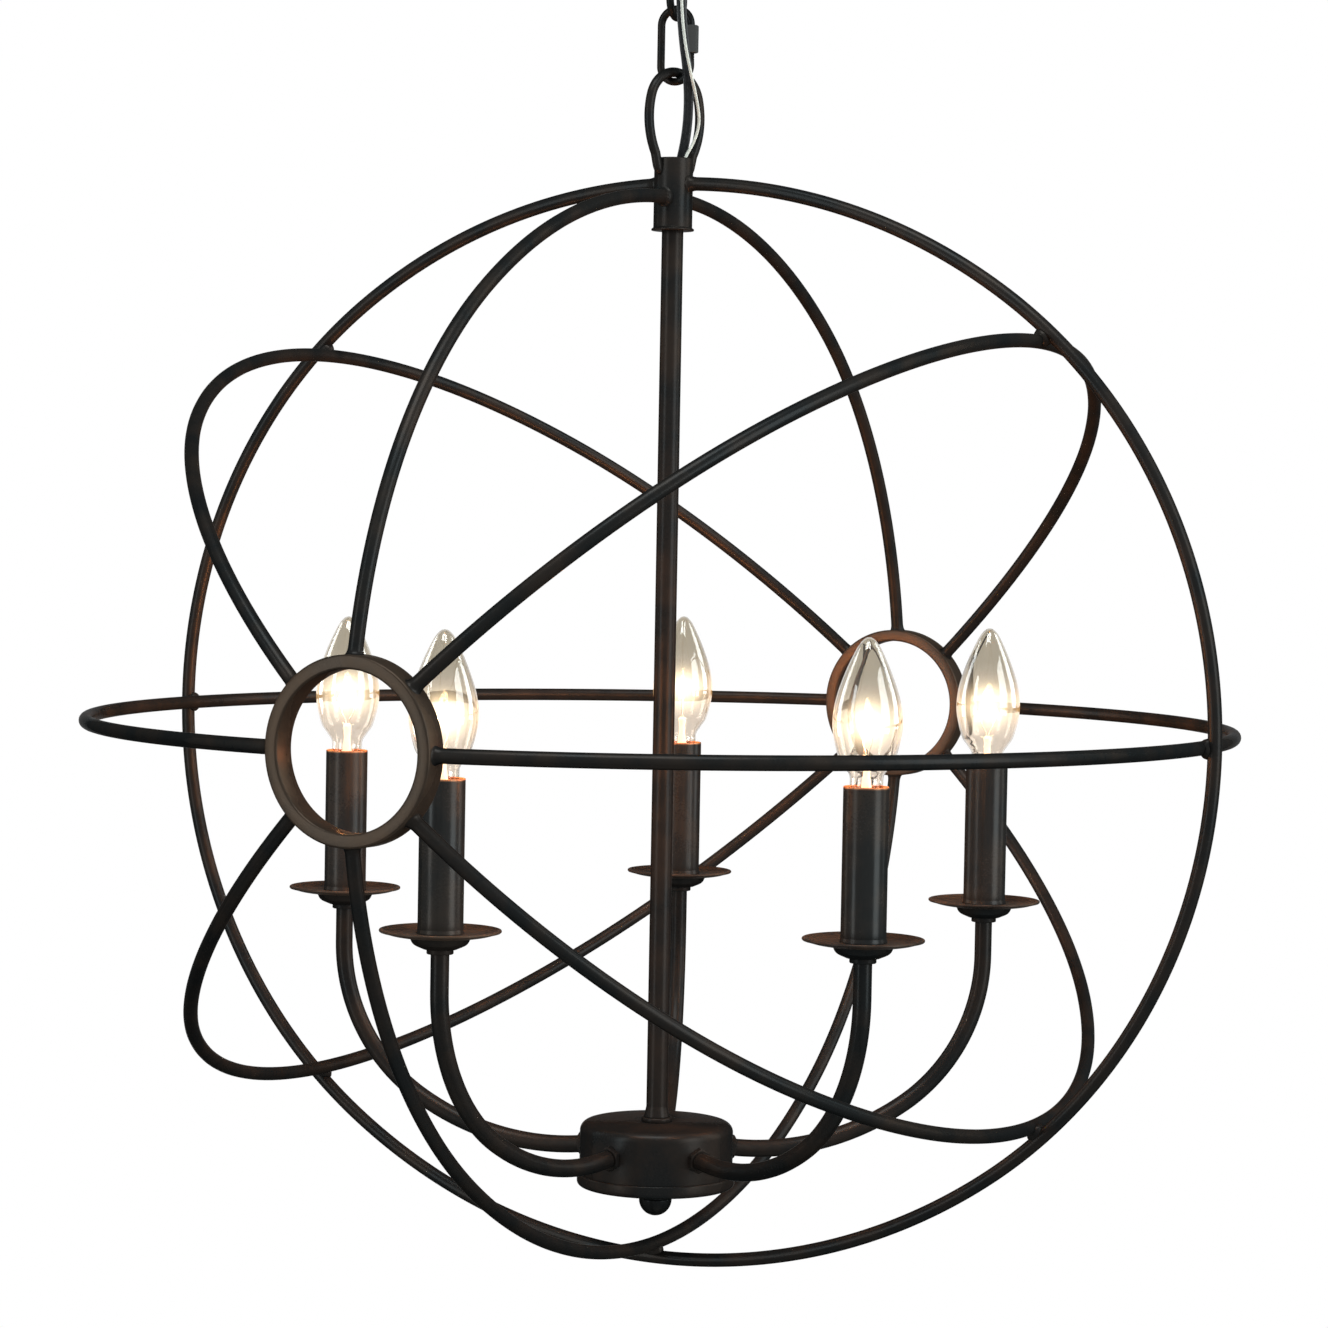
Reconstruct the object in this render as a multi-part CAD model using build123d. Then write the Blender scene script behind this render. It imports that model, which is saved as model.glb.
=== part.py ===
from build123d import *
import os
from math import asin, atan2, cos, degrees, hypot, pi, radians, sin, sqrt, tan

# Orb chandelier: a round cage of rods round five candle arms, hung by a loop and chain from a ceiling canopy.
# Millimetres, +Z up. The origin is on the ceiling, at the middle of the crossbar's slot pattern.
# X lies in the plane of the main ring. Y runs through the two portholes, the front one at -Y.

# Cage of round rod
rod_diameter = 7.0
cage_half_width = 297.0        # main ring, rod centreline, along X
cage_half_height = 277.5       # main ring, rod centreline, along Z
porthole_reach = 302.5         # where an inner rod's oval would cross the Y axis
rise_of_right_diagonal = 44.0  # degrees above the equator
rise_of_left_diagonal = 42.6
weld_gap = 0.1                 # between crossing rods, filled by the weld
weld_ball_radius = 5.8
weld_cone_radius = 5.3
weld_cone_length = 3.2
porthole_outer_radius = 43.0
porthole_wall = 6.5
porthole_depth = 13.0

# Top hub and hanging loop
hub_radius = 10.0
hub_wall = 1.6
hub_length = 37.0
hub_above_ring = 13.0          # hub's top edge above the main ring's centreline
hub_floor = 4.0
loop_wire = 5.0
loop_rise = 44.0               # hub's top edge to the wire's centre at the loop's top
loop_half_width = 17.7
loop_widest_height = 21.0      # above the hub's top edge
loop_side_radius = 40.0
loop_turn = 70.0               # degrees from X to the loop's plane

# Quick link, chain link and collar loop
link_turn = 5.0                # degrees from X to the quick link's plane
hang_clearance = 0.3           # between wires that hang in each other
quick_link_wire = 4.0
quick_link_length = 41.0
quick_link_width = 20.3
quick_link_gap = 4.0
nut_across_flats = 7.0
nut_length = 14.0
nut_grip = 2.0                 # of the closed nut on the upper wire end
nut_clearance = 0.06
nut_below_bend = 0.4
chain_wire = 4.0
chain_length = 38.0
chain_width = 22.0
collar_wire = 4.5
collar_ring_radius = 11.25
collar_ring_drop = 7.0         # ring's centre below the collar body
collar_body_radius = 12.0
collar_body_length = 14.0
collar_cord_bore = 5.0

# Ceiling canopy
canopy_radius = 63.5
canopy_depth = 24.0
canopy_wall = 1.2
canopy_flat_radius = 24.0
canopy_lip = 3.0
nipple_radius = 6.5
nipple_bore = 5.0
nipple_grip = 9.0              # length inside the collar
thread_clearance = 0.1
crossbar_length = 104.0
crossbar_width = 20.0
crossbar_thickness = 2.5
slot_spacing = 88.9
slot_width = 4.6
slot_length = 12.0
nipple_nut_flats = 19.0
nipple_nut_height = 5.0
cap_radius = 5.5
cap_length = 18.0
cap_spacing = 26.0

# Stem and wiring drum
stem_radius = 5.55
stem_bore = 4.55
ring_nut_radius = 8.0
ring_nut_height = 4.0
stem_collar_radius = 8.0
stem_collar_height = 2.5
finial_above_rod = 11.1        # between the finial and the lowest inner rod
drum_radius = 39.75
drum_wall = 1.5
drum_height = 33.4
drum_edge_radius = 5.0
tray_radius = 41.0
tray_height = 6.5
tray_floor = 1.5
tray_edge_radius = 2.5
tray_fit = 0.15                # between the drum's side and the tray's rim
centre_rod_radius = 4.5
centre_rod_bore = 3.1
centre_rod_in_stem = 18.0
centre_rod_in_finial = 6.0
window_height = 11.0
window_width = 4.4
finial_radius = 8.5
finial_neck = 7.2
lock_nut_flats = 13.0
lock_nut_height = 4.0

# Arms
arm_radius = 4.5
arm_wall = 1.0
arm_fit = 0.1
candle_circle_radius = 176.3
first_arm_angle = 115.2        # degrees from X, at the back
arm_set = (-1.3, -2.1, -0.6, 1.5, 2.6)  # degrees that each arm stands off an even fifth
arm_exit_below_top = 14.4      # arm's centreline below the drum's top, at the wall
arm_exit_drop = 6.7            # degrees that the arm falls as it leaves the drum
arm_lower_bend = 140.5
arm_bend_change = 32.2         # degrees of climb where the lower bend hands over to the upper
arm_inside_drum = 9.0
arm_collar_flats = 11.4
arm_collar_thickness = 2.0
lead_radius = 1.5
lead_past_arm = 7.0
lead_cap_radius = 3.5
lead_cap_length = 11.0

# Candles
pan_radius = 29.4
pan_sheet = 1.2
pan_flat_radius = 21.0
pan_rise = 2.2
pan_above_drum = 111.0         # drum's top face to the pan's underside
husk_top_radius = 15.0
husk_bottom_radius = 6.2
husk_height = 8.7
husk_wall = 1.3
sleeve_radius = 11.0
sleeve_wall = 1.2
sleeve_length = 74.5
arm_above_pan = 14.0
socket_radius = 9.4
socket_length = 28.0
socket_below_sleeve = 8.0
socket_post_radius = 6.0
socket_floor = 8.0
bulb_clearance = 0.3
bulb_base_radius = 5.95
bulb_base_length = 16.0
bulb_contact_radius = 3.2
bulb_contact_height = 2.0
bulb_visible_height = 71.0     # above the sleeve's top
bulb_radius = 16.7
glass_wall = 0.8
glass_stem_radius = 1.6        # at its top
glass_stem_height = 14.0       # above the sleeve's top
filament_radius = 0.45
filament_half_width = 5.0
filament_rise = 11.0

# Cord and ground wire
cord_radius = 2.5
ground_wire_radius = 0.75

# ---- Sizes worked out from the ones above ----
rod_radius = rod_diameter / 2
weld_root = hub_radius - sqrt(hub_radius**2 - weld_cone_radius**2) + 1  # before it is cut to its seat
z_canopy_bottom = -canopy_depth
z_collar_bottom = z_canopy_bottom - collar_body_length
z_collar_ring = z_collar_bottom - collar_ring_drop
z_collar_wire = z_collar_ring - collar_ring_radius
z_chain_top = z_collar_wire + collar_wire / 2 + chain_wire / 2 + hang_clearance
z_chain_bottom = z_chain_top - (chain_length - chain_wire)
z_quick_top = z_chain_bottom + chain_wire / 2 + quick_link_wire / 2 + hang_clearance
z_quick_bottom = z_quick_top - (quick_link_length - quick_link_wire)
z_loop_top = z_quick_bottom + quick_link_wire / 2 + loop_wire / 2 + hang_clearance
z_hub_top = z_loop_top - loop_rise
z_ring_top = z_hub_top - hub_above_ring
z_centre = z_ring_top - cage_half_height
z_hub_bottom = z_hub_top - hub_length
z_lowest_rod = z_centre - cage_half_height + rod_diameter + weld_gap
z_drum_bottom = z_lowest_rod + rod_radius + finial_above_rod + finial_radius + finial_neck
z_drum_top = z_drum_bottom + drum_height
z_pan = z_drum_top + pan_above_drum
z_sleeve_top = z_pan + pan_sheet + sleeve_length
z_socket_top = z_sleeve_top - socket_below_sleeve
z_arm_exit = z_drum_top - arm_exit_below_top
z_ring_nut_top = z_hub_bottom + hub_floor + ring_nut_height
arm_angles = [first_arm_angle - 360 / len(arm_set) * i + off for i, off in enumerate(arm_set)]


def along_link(x, y, z):
    """A point given across (x) and through (y) the quick link's plane, at height z."""
    turn = radians(link_turn)
    return Vector(x * cos(turn) - y * sin(turn), x * sin(turn) + y * cos(turn), z)


def upright_plane(turn, z):
    """An upright plane through the Z axis, turned from X; its x runs sideways and its y up."""
    return Plane(origin=(0, 0, z), x_dir=(cos(radians(turn)), sin(radians(turn)), 0),
                 z_dir=(sin(radians(turn)), -cos(radians(turn)), 0))


def sweep_round(path, radius, bore=0):
    """A round rod, or a tube where a bore is given, along a path."""
    section = Plane(origin=path @ 0, z_dir=path % 0) * Circle(radius)
    rod = sweep(section, path=path)
    if bore:
        rod -= sweep(Plane(origin=path @ 0, z_dir=path % 0) * Circle(bore), path=path)
    return rod


def post(radius, height, z=0):
    """A solid upright cylinder that stands on z."""
    return Pos(0, 0, z) * Cylinder(radius, height, align=(Align.CENTER, Align.CENTER, Align.MIN))


def ring_of(outer, inner, height, z):
    """An upright tube or washer that stands on z."""
    blank = post(outer, height)
    hole = post(inner, height)
    return Pos(0, 0, z) * (blank - hole)


def hex_nut(flats, height, bore):
    """A hexagon nut on the XY plane, rising along Z."""
    return extrude(RegularPolygon(flats / 2, 6, major_radius=False), height) - post(bore, height)


def spun(points):
    """A turned piece from its half outline of radius and height."""
    outline = Polyline(*[(r, 0, z) for r, z in points], close=True)
    return revolve(make_face(outline), Axis.Z)


# ---- Cage ----
class Oval:
    """Four tangent arcs that follow an ellipse: flat arcs over the short axis, end arcs at the long one."""

    def __init__(self, long_half, short_half):
        self.long_half = long_half
        self.short_half = short_half
        self.end_radius = (short_half + short_half**2 / long_half) / 2
        self.end_centre = long_half - self.end_radius
        self.flat_radius = long_half**2 / short_half
        self.flat_centre = self.flat_radius - short_half
        self.change = degrees(atan2(2 * long_half * (long_half + short_half),
                                    short_half * (2 * long_half + short_half)))

    def flat_arc(self, start, end, side=1):
        return CenterArc((0, -side * self.flat_centre), self.flat_radius, start, end - start)

    def end_arc(self, start, end, side=1):
        return CenterArc((side * self.end_centre, 0), self.end_radius, start, end - start)

    def reach(self, angle):
        """Distance from the middle to the oval in a direction of its first quarter."""
        ray = (cos(radians(angle)), sin(radians(angle)))
        arcs = (((self.end_centre, 0), self.end_radius), ((0, -self.flat_centre), self.flat_radius))
        for centre, radius in arcs:
            along = centre[0] * ray[0] + centre[1] * ray[1]
            length = along + sqrt(along**2 - centre[0]**2 - centre[1]**2 + radius**2)
            from_centre = atan2(length * ray[1] - centre[1], length * ray[0] - centre[0])
            if centre[1] == 0 and degrees(from_centre) <= self.change:
                return length
        return length

    def short_at(self, along):
        """Height over the long axis where the oval is at this distance along it, near the middle."""
        return sqrt(self.flat_radius**2 - along**2) - self.flat_centre

    def long_at(self, height):
        """Distance along the long axis where the oval is at this height over it."""
        return self.end_centre + sqrt(self.end_radius**2 - height**2)


main_oval = Oval(cage_half_width, cage_half_height)
inset = rod_diameter + weld_gap
cut_in = rod_radius             # how far a rod's blank runs into what it is cut to fit
porthole_y = Oval(porthole_reach, cage_half_width - inset).long_at(porthole_outer_radius)
hub_cut = post(hub_radius, hub_length, z_hub_bottom)
porthole_cut = Pos(0, 0, z_centre) * Rot(90, 0, 0) * Cylinder(porthole_outer_radius, 4 * porthole_reach)


def cage_plane(angle):
    """A plane through the Y axis: its x is +Y and its y points outwards at this angle over the equator."""
    turn = radians(angle)
    return Plane(origin=(0, 0, z_centre), x_dir=(0, 1, 0), z_dir=(sin(turn), 0, -cos(turn)))


def inner_oval(angle):
    """The oval of an inner rod, one rod inside the main ring where it crosses that."""
    folded = abs(degrees(asin(sin(radians(angle)))))
    return Oval(porthole_reach, main_oval.reach(folded) - inset)


def half_rod(angle):
    """An inner rod from the front porthole, inside the main ring, to the back porthole."""
    oval = inner_oval(angle)
    low = degrees(asin((porthole_outer_radius - cut_in) / oval.end_radius))
    path = Wire([oval.end_arc(low, oval.change), oval.flat_arc(oval.change, 180 - oval.change),
                 oval.end_arc(180 - oval.change, 180 - low, -1)])
    return sweep_round(cage_plane(angle) * path, rod_radius) - porthole_cut


def quarter_rod(back):
    """An upper meridian rod from the hub to one porthole."""
    oval = inner_oval(90)
    low = degrees(asin((porthole_outer_radius - cut_in) / oval.end_radius))
    top = 90 - degrees(asin((hub_radius - cut_in) / oval.flat_radius))
    path = Wire([oval.end_arc(low, oval.change), oval.flat_arc(oval.change, top)])
    rod = sweep_round(cage_plane(90) * path, rod_radius) - porthole_cut - hub_cut
    return rod if back else mirror(rod, Plane.XZ)


def main_ring():
    """The outermost ring, in one length, with both ends cut to the hub."""
    oval = main_oval
    top = 90 - degrees(asin((hub_radius - cut_in) / oval.flat_radius))
    turn = oval.change
    path = Wire([oval.flat_arc(180 - top, 180 - turn), oval.end_arc(180 - turn, 180 + turn, -1),
                 oval.flat_arc(180 + turn, 360 - turn, -1), oval.end_arc(-turn, turn),
                 oval.flat_arc(turn, top)])
    return sweep_round(upright_plane(0, z_centre) * path, rod_radius) - hub_cut


def porthole_ring(side):
    band = Cylinder(porthole_outer_radius, porthole_depth) - Cylinder(
        porthole_outer_radius - porthole_wall, porthole_depth)
    return Pos(0, side * porthole_y, z_centre) * Rot(90, 0, 0) * band


rod_angles = {
    "equator_rod_right": 0,
    "equator_rod_left": 180,
    "diagonal_rod_upper_right": rise_of_right_diagonal,
    "diagonal_rod_lower_left": 180 + rise_of_right_diagonal,
    "diagonal_rod_upper_left": 180 - rise_of_left_diagonal,
    "diagonal_rod_lower_right": -rise_of_left_diagonal,
    "meridian_rod_lower": -90,
}


def weld_cone(point, away, seat, rods):
    """A weld round a rod's butted end: widest on its seat, running out along the rod."""
    root = Cylinder(weld_cone_radius, weld_root, align=(Align.CENTER, Align.CENTER, Align.MAX))
    cone = Cone(weld_cone_radius, rod_radius + weld_gap, weld_cone_length,
                align=(Align.CENTER, Align.CENTER, Align.MIN))
    return Plane(origin=point, z_dir=away) * (root + cone) - seat - rods


def weld_beads(rods):
    """Welds at every crossing, at every rod end on a porthole and on the hub."""
    beads = []
    for name, angle in rod_angles.items():
        out = inner_oval(angle).short_half + rod_radius + weld_gap / 2
        ball = cage_plane(angle) * Pos(0, out, 0) * Rot(0, 45, 0) * Sphere(weld_ball_radius)
        beads.append(ball - rods["main_ring"] - rods[name])
    ends = [(angle, side, rods[name]) for name, angle in rod_angles.items() for side in (1, -1)]
    ends += [(90, 1, rods["meridian_rod_back"]), (90, -1, rods["meridian_rod_front"])]
    for angle, side, rod in ends:
        oval = inner_oval(angle)
        slope = asin(porthole_outer_radius / oval.end_radius)
        plane = cage_plane(angle)
        point = plane.from_local_coords(Vector(side * oval.long_at(porthole_outer_radius),
                                               porthole_outer_radius, 0))
        away = plane.from_local_coords(Vector(-side * sin(slope), cos(slope), 0)) - plane.origin
        beads.append(weld_cone(point, away, porthole_cut, rod))
    inner = inner_oval(90)
    at_hub = [(rods["main_ring"], main_oval, 1, 0), (rods["main_ring"], main_oval, -1, 0),
              (rods["meridian_rod_back"], inner, 0, 1), (rods["meridian_rod_front"], inner, 0, -1)]
    for rod, oval, x, y in at_hub:
        slope = asin(hub_radius / oval.flat_radius)
        point = (x * hub_radius, y * hub_radius, z_centre + oval.short_at(hub_radius))
        beads.append(weld_cone(point, (x * cos(slope), y * cos(slope), -sin(slope)), hub_cut, rod))
    return beads


# ---- Hub and loop ----
def top_hub():
    tube = ring_of(hub_radius, hub_radius - hub_wall, hub_length, z_hub_bottom)
    return tube + ring_of(hub_radius - hub_wall / 2, stem_radius + thread_clearance, hub_floor, z_hub_bottom)


def hanging_loop():
    """An oval loop of wire: a round top and long sides that close in on the hub."""
    side_centre = loop_half_width - loop_side_radius
    gap = loop_rise - loop_widest_height
    top_radius = (loop_side_radius**2 - side_centre**2 - gap**2) / (2 * (loop_side_radius - gap))
    change = degrees(atan2(gap - top_radius, -side_centre))
    below = loop_widest_height + hub_radius * 0.8
    low = -degrees(asin(below / loop_side_radius))
    sides = (side_centre, loop_widest_height)
    path = Wire([
        CenterArc(sides, loop_side_radius, low, change - low),
        CenterArc((0, loop_rise - top_radius), top_radius, change, 180 - 2 * change),
        CenterArc((-sides[0], sides[1]), loop_side_radius, 180 - change, change - low)])
    return sweep_round(upright_plane(loop_turn, z_hub_top) * path, loop_wire / 2) - hub_cut


def hub_ring_nut():
    return ring_of(ring_nut_radius, stem_radius + thread_clearance, ring_nut_height, z_hub_bottom + hub_floor)


# ---- Links ----
def link_path(length, width, gap_top=None, gap=0):
    """A link's centreline of two straight sides and two half circles, closed or with a gap on the right."""
    bend = width / 2
    straight = (length - width) / 2
    if gap_top is None:
        return Wire([Line((bend, -straight), (bend, straight)), CenterArc((0, straight), bend, 0, 180),
                     Line((-bend, straight), (-bend, -straight)), CenterArc((0, -straight), bend, 180, 180)])
    return Wire([Line((bend, gap_top), (bend, straight)), CenterArc((0, straight), bend, 0, 180),
                 Line((-bend, straight), (-bend, -straight)), CenterArc((0, -straight), bend, 180, 180),
                 Line((bend, -straight), (bend, gap_top - gap))])


quick_straight = (quick_link_length - quick_link_width) / 2
z_quick_middle = (z_quick_top + z_quick_bottom) / 2
nut_top = quick_straight - nut_below_bend


def quick_link():
    path = link_path(quick_link_length - quick_link_wire, quick_link_width - quick_link_wire,
                     nut_top - nut_grip, quick_link_gap)
    return sweep_round(upright_plane(link_turn, z_quick_middle) * path, quick_link_wire / 2)


def quick_link_nut():
    nut = hex_nut(nut_across_flats, nut_length, quick_link_wire / 2 + nut_clearance)
    side = along_link((quick_link_width - quick_link_wire) / 2, 0, z_quick_middle + nut_top - nut_length)
    return Pos(side) * Rot(0, 0, link_turn) * nut


def chain_link():
    path = link_path(chain_length - chain_wire, chain_width - chain_wire)
    plane = upright_plane(link_turn + 90, (z_chain_top + z_chain_bottom) / 2)
    return sweep_round(plane * path, chain_wire / 2)


def collar_loop():
    body = post(collar_body_radius, collar_body_length, z_collar_bottom)
    body = fillet(body.edges().filter_by(GeomType.CIRCLE), collar_wire / 4)
    turned = Rot(0, 0, link_turn) * Rot(90, 0, 0)
    ring = Pos(0, 0, z_collar_ring) * turned * Torus(collar_ring_radius, collar_wire / 2)
    thread = post(nipple_radius + thread_clearance, nipple_grip, z_canopy_bottom - nipple_grip)
    bore = post(collar_cord_bore, collar_body_length, z_collar_bottom - collar_wire)
    return body + ring - thread - bore


# ---- Canopy ----
def dish(radius, depth, flat_radius):
    """A solid dish hanging from z = 0: a short straight lip, a bulging side and a flat bottom."""
    side = (flat_radius * 0.3 + radius * 0.7, -depth * 0.72)
    outline = [Line((0, 0, 0), (radius, 0, 0)), Line((radius, 0, 0), (radius, 0, -canopy_lip)),
               ThreePointArc((radius, 0, -canopy_lip), (side[0], 0, side[1]), (flat_radius, 0, -depth)),
               Line((flat_radius, 0, -depth), (0, 0, -depth)), Line((0, 0, -depth), (0, 0, 0))]
    return revolve(make_face(Wire(outline)), Axis.Z)


def canopy():
    shell = dish(canopy_radius, canopy_depth, canopy_flat_radius) - dish(
        canopy_radius - canopy_wall, canopy_depth - canopy_wall, canopy_flat_radius)
    return shell - Pos(0, 0, -canopy_depth) * Cylinder(nipple_radius + thread_clearance, 4 * canopy_wall)


def crossbar():
    bar = Pos(0, 0, -crossbar_thickness / 2) * Box(crossbar_length, crossbar_width, crossbar_thickness)
    bar = fillet(bar.edges().filter_by(Axis.Z), crossbar_width / 4)
    bar -= Cylinder(nipple_radius + thread_clearance, 4 * crossbar_thickness)
    for side in (1, -1):
        slot = extrude(SlotOverall(slot_length, slot_width), 4 * crossbar_thickness)
        bar -= Pos(side * slot_spacing / 2, 0, -2 * crossbar_thickness) * slot
    return bar


def canopy_nipple():
    return ring_of(nipple_radius, nipple_bore, canopy_depth + nipple_grip, -canopy_depth - nipple_grip)


def nipple_nut():
    nut = hex_nut(nipple_nut_flats, nipple_nut_height, nipple_radius + thread_clearance)
    return Pos(0, 0, -crossbar_thickness - nipple_nut_height) * nut


def canopy_connectors():
    """Two closed wire caps that lie on the canopy's floor, one each side of the nipple."""
    caps = []
    for side in (1, -1):
        cap = Cylinder(cap_radius, cap_length)
        cap = fillet(cap.edges().filter_by(GeomType.CIRCLE), cap_radius / 3)
        place = Pos(0, side * cap_spacing / 2, -canopy_depth + canopy_wall + cap_radius)
        caps.append(place * Rot(0, 90, 0) * cap)
    return caps


# ---- Stem and drum ----
def stem_tube():
    low = z_drum_top + stem_collar_height
    return ring_of(stem_radius, stem_bore, z_ring_nut_top + thread_clearance - low, low)


def stem_collar():
    washer = ring_of(stem_collar_radius, centre_rod_radius + thread_clearance, stem_collar_height, z_drum_top)
    top = washer.edges().filter_by(GeomType.CIRCLE).sort_by(Axis.Z)[-2:].sort_by(SortBy.RADIUS)[-1]
    return fillet(top, stem_collar_height / 3)


def centre_rod():
    high = z_drum_top + stem_collar_height + centre_rod_in_stem
    low = z_drum_bottom - centre_rod_in_finial
    tube = ring_of(centre_rod_radius, centre_rod_bore, high - low, low)
    window = Pos(0, -centre_rod_radius, z_drum_top - drum_wall - lock_nut_height - window_height / 2)
    return tube - window * Box(window_width, 2 * centre_rod_radius, window_height)


def arm_direction(angle):
    """Unit vector along the arm as it leaves the drum."""
    drop = radians(arm_exit_drop)
    turn = radians(angle)
    return Vector(cos(drop) * cos(turn), cos(drop) * sin(turn), -sin(drop))


def arm_axis_plane(angle, out):
    """A plane square to the arm where it passes through the drum's wall, moved out along the arm."""
    turn = radians(angle)
    wall = Vector(drum_radius * cos(turn), drum_radius * sin(turn), z_arm_exit)
    return Plane(origin=wall + arm_direction(angle) * out, z_dir=arm_direction(angle))


def drum_cup():
    """The drum's body, open below, with its rounded top edge and five arm holes."""
    height = drum_height - tray_floor
    blank = post(drum_radius, height, z_drum_top - height)
    blank = fillet(blank.edges().sort_by(Axis.Z)[-1], drum_edge_radius)
    inside = post(drum_radius - drum_wall, height - drum_wall, z_drum_top - height)
    inside = fillet(inside.edges().sort_by(Axis.Z)[-1], drum_edge_radius - drum_wall)
    cup = blank - inside
    cup -= Pos(0, 0, z_drum_top) * Cylinder(centre_rod_radius + thread_clearance, 4 * drum_wall)
    for angle in arm_angles:
        cup -= arm_axis_plane(angle, 0) * Cylinder(arm_radius + arm_fit, 8 * drum_wall)
    return cup


def drum_tray():
    """The drum's bottom cover: a shallow tray that takes the cup's lower edge."""
    blank = post(tray_radius, tray_height, z_drum_bottom)
    blank = fillet(blank.edges().sort_by(Axis.Z)[0], tray_edge_radius)
    pocket = post(drum_radius + tray_fit, tray_height, z_drum_bottom + tray_floor)
    hole = Pos(0, 0, z_drum_bottom) * Cylinder(centre_rod_radius + thread_clearance, 4 * tray_floor)
    return blank - pocket - hole


def ball_finial():
    """A ball-ended finial that screws up the centre rod and holds the tray."""
    neck = post(finial_radius, finial_neck, z_drum_bottom - finial_neck)
    ball = Pos(0, 0, z_drum_bottom - finial_neck) * Sphere(finial_radius)
    ball -= post(2 * finial_radius, 2 * finial_radius, z_drum_bottom - finial_neck)
    thread = post(centre_rod_radius + thread_clearance, centre_rod_in_finial,
                  z_drum_bottom - centre_rod_in_finial)
    return neck + ball - thread


def lock_nuts():
    """Identical nuts inside the drum: one on each arm and one on the centre rod."""
    face = -drum_wall - lock_nut_flats * 0.1
    nuts = [arm_axis_plane(angle, face - lock_nut_height) * hex_nut(
        lock_nut_flats, lock_nut_height, arm_radius + arm_fit) for angle in arm_angles]
    nuts.append(Pos(0, 0, z_drum_top - drum_wall - lock_nut_height) * hex_nut(
        lock_nut_flats, lock_nut_height, centre_rod_radius + arm_fit))
    return nuts


# ---- Arms and what they carry ----
def arm_path(angle, inside, top):
    """The arm's centreline: straight through the drum's wall, a long bend, a tighter one, then upright."""
    drop, change = radians(arm_exit_drop), radians(arm_bend_change)
    straight = arm_collar_thickness
    start = (drum_radius + straight * cos(drop), z_arm_exit - straight * sin(drop))
    inner = (drum_radius - inside * cos(drop), z_arm_exit + inside * sin(drop))
    middle = (start[0] + arm_lower_bend * (sin(change) + sin(drop)),
              start[1] + arm_lower_bend * (cos(drop) - cos(change)))
    upper_bend = (candle_circle_radius - middle[0]) / (1 - sin(change))
    end = (candle_circle_radius, middle[1] + upper_bend * cos(change))
    lower_centre = (start[0] + arm_lower_bend * sin(drop), start[1] + arm_lower_bend * cos(drop))
    upper_centre = (end[0] - upper_bend, end[1])
    path = Wire([
        Line(inner, start),
        CenterArc(lower_centre, arm_lower_bend, -90 - arm_exit_drop, arm_exit_drop + arm_bend_change),
        CenterArc(upper_centre, upper_bend, -90 + arm_bend_change, 90 - arm_bend_change),
        Line(end, (end[0], top))])
    return upright_plane(angle, 0) * path


z_arm_top = z_pan + pan_sheet + arm_above_pan
z_lead_top = z_socket_top - socket_length


def arm(angle):
    return sweep_round(arm_path(angle, arm_inside_drum, z_arm_top), arm_radius, arm_radius - arm_wall)


def arm_collars():
    """Thin hexagon nuts between the arms and the drum's side, cut to its curve."""
    drum = post(drum_radius, drum_height, z_drum_bottom)
    nut = hex_nut(arm_collar_flats, 3 * arm_collar_thickness, arm_radius + arm_fit)
    return [arm_axis_plane(angle, -2 * arm_collar_thickness) * nut - drum for angle in arm_angles]


def inner_leads():
    """The lamp leads inside the arms, and the cord's straight length inside the stem."""
    leads = [sweep_round(arm_path(angle, arm_inside_drum + lead_past_arm, z_lead_top), lead_radius)
             for angle in arm_angles]
    low = z_drum_top - drum_wall - lock_nut_height - window_height
    leads.append(post(cord_radius, z_ring_nut_top - low, low))
    return leads


def drum_connectors():
    """Closed caps on the ends of the lamp leads."""
    caps = []
    for angle in arm_angles:
        cap = Cylinder(lead_cap_radius, lead_cap_length, align=(Align.CENTER, Align.CENTER, Align.MAX))
        cap = fillet(cap.edges().filter_by(GeomType.CIRCLE), lead_cap_radius / 3)
        caps.append(arm_axis_plane(angle, -arm_inside_drum - lead_past_arm) * cap)
    return caps


def candle_at(angle, piece):
    turn = radians(angle)
    place = Pos(candle_circle_radius * cos(turn), candle_circle_radius * sin(turn), 0)
    return place * Rot(0, 0, angle) * piece


def husk_cup():
    """A small bowl under the drip pan, open above."""
    def bowl(top, bottom, height):
        swell = ((top + bottom) / 2 + height * 0.22, z_pan - height * 0.62)
        outline = Wire([Line((0, 0, z_pan), (top, 0, z_pan)),
                        ThreePointArc((top, 0, z_pan), (swell[0], 0, swell[1]), (bottom, 0, z_pan - height)),
                        Line((bottom, 0, z_pan - height), (0, 0, z_pan - height)),
                        Line((0, 0, z_pan - height), (0, 0, z_pan))])
        return revolve(make_face(outline), Axis.Z)
    cup = bowl(husk_top_radius, husk_bottom_radius, husk_height) - bowl(
        husk_top_radius - husk_wall, husk_bottom_radius - husk_wall / 2, husk_height - husk_wall)
    return cup - Pos(0, 0, z_pan - husk_height) * Cylinder(arm_radius + arm_fit, 4 * husk_wall)


def drip_pan():
    """A shallow saucer round the candle's foot."""
    hole = arm_radius + arm_fit
    return spun([(hole, z_pan), (pan_flat_radius, z_pan), (pan_radius, z_pan + pan_rise),
                 (pan_radius, z_pan + pan_rise + pan_sheet * 0.8),
                 (pan_radius - pan_sheet, z_pan + pan_rise + pan_sheet * 0.8),
                 (pan_flat_radius - pan_sheet / 4, z_pan + pan_sheet), (hole, z_pan + pan_sheet)])


def candle_sleeve():
    low = z_pan + pan_sheet
    return ring_of(sleeve_radius, sleeve_radius - sleeve_wall, z_sleeve_top - low, low)


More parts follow.
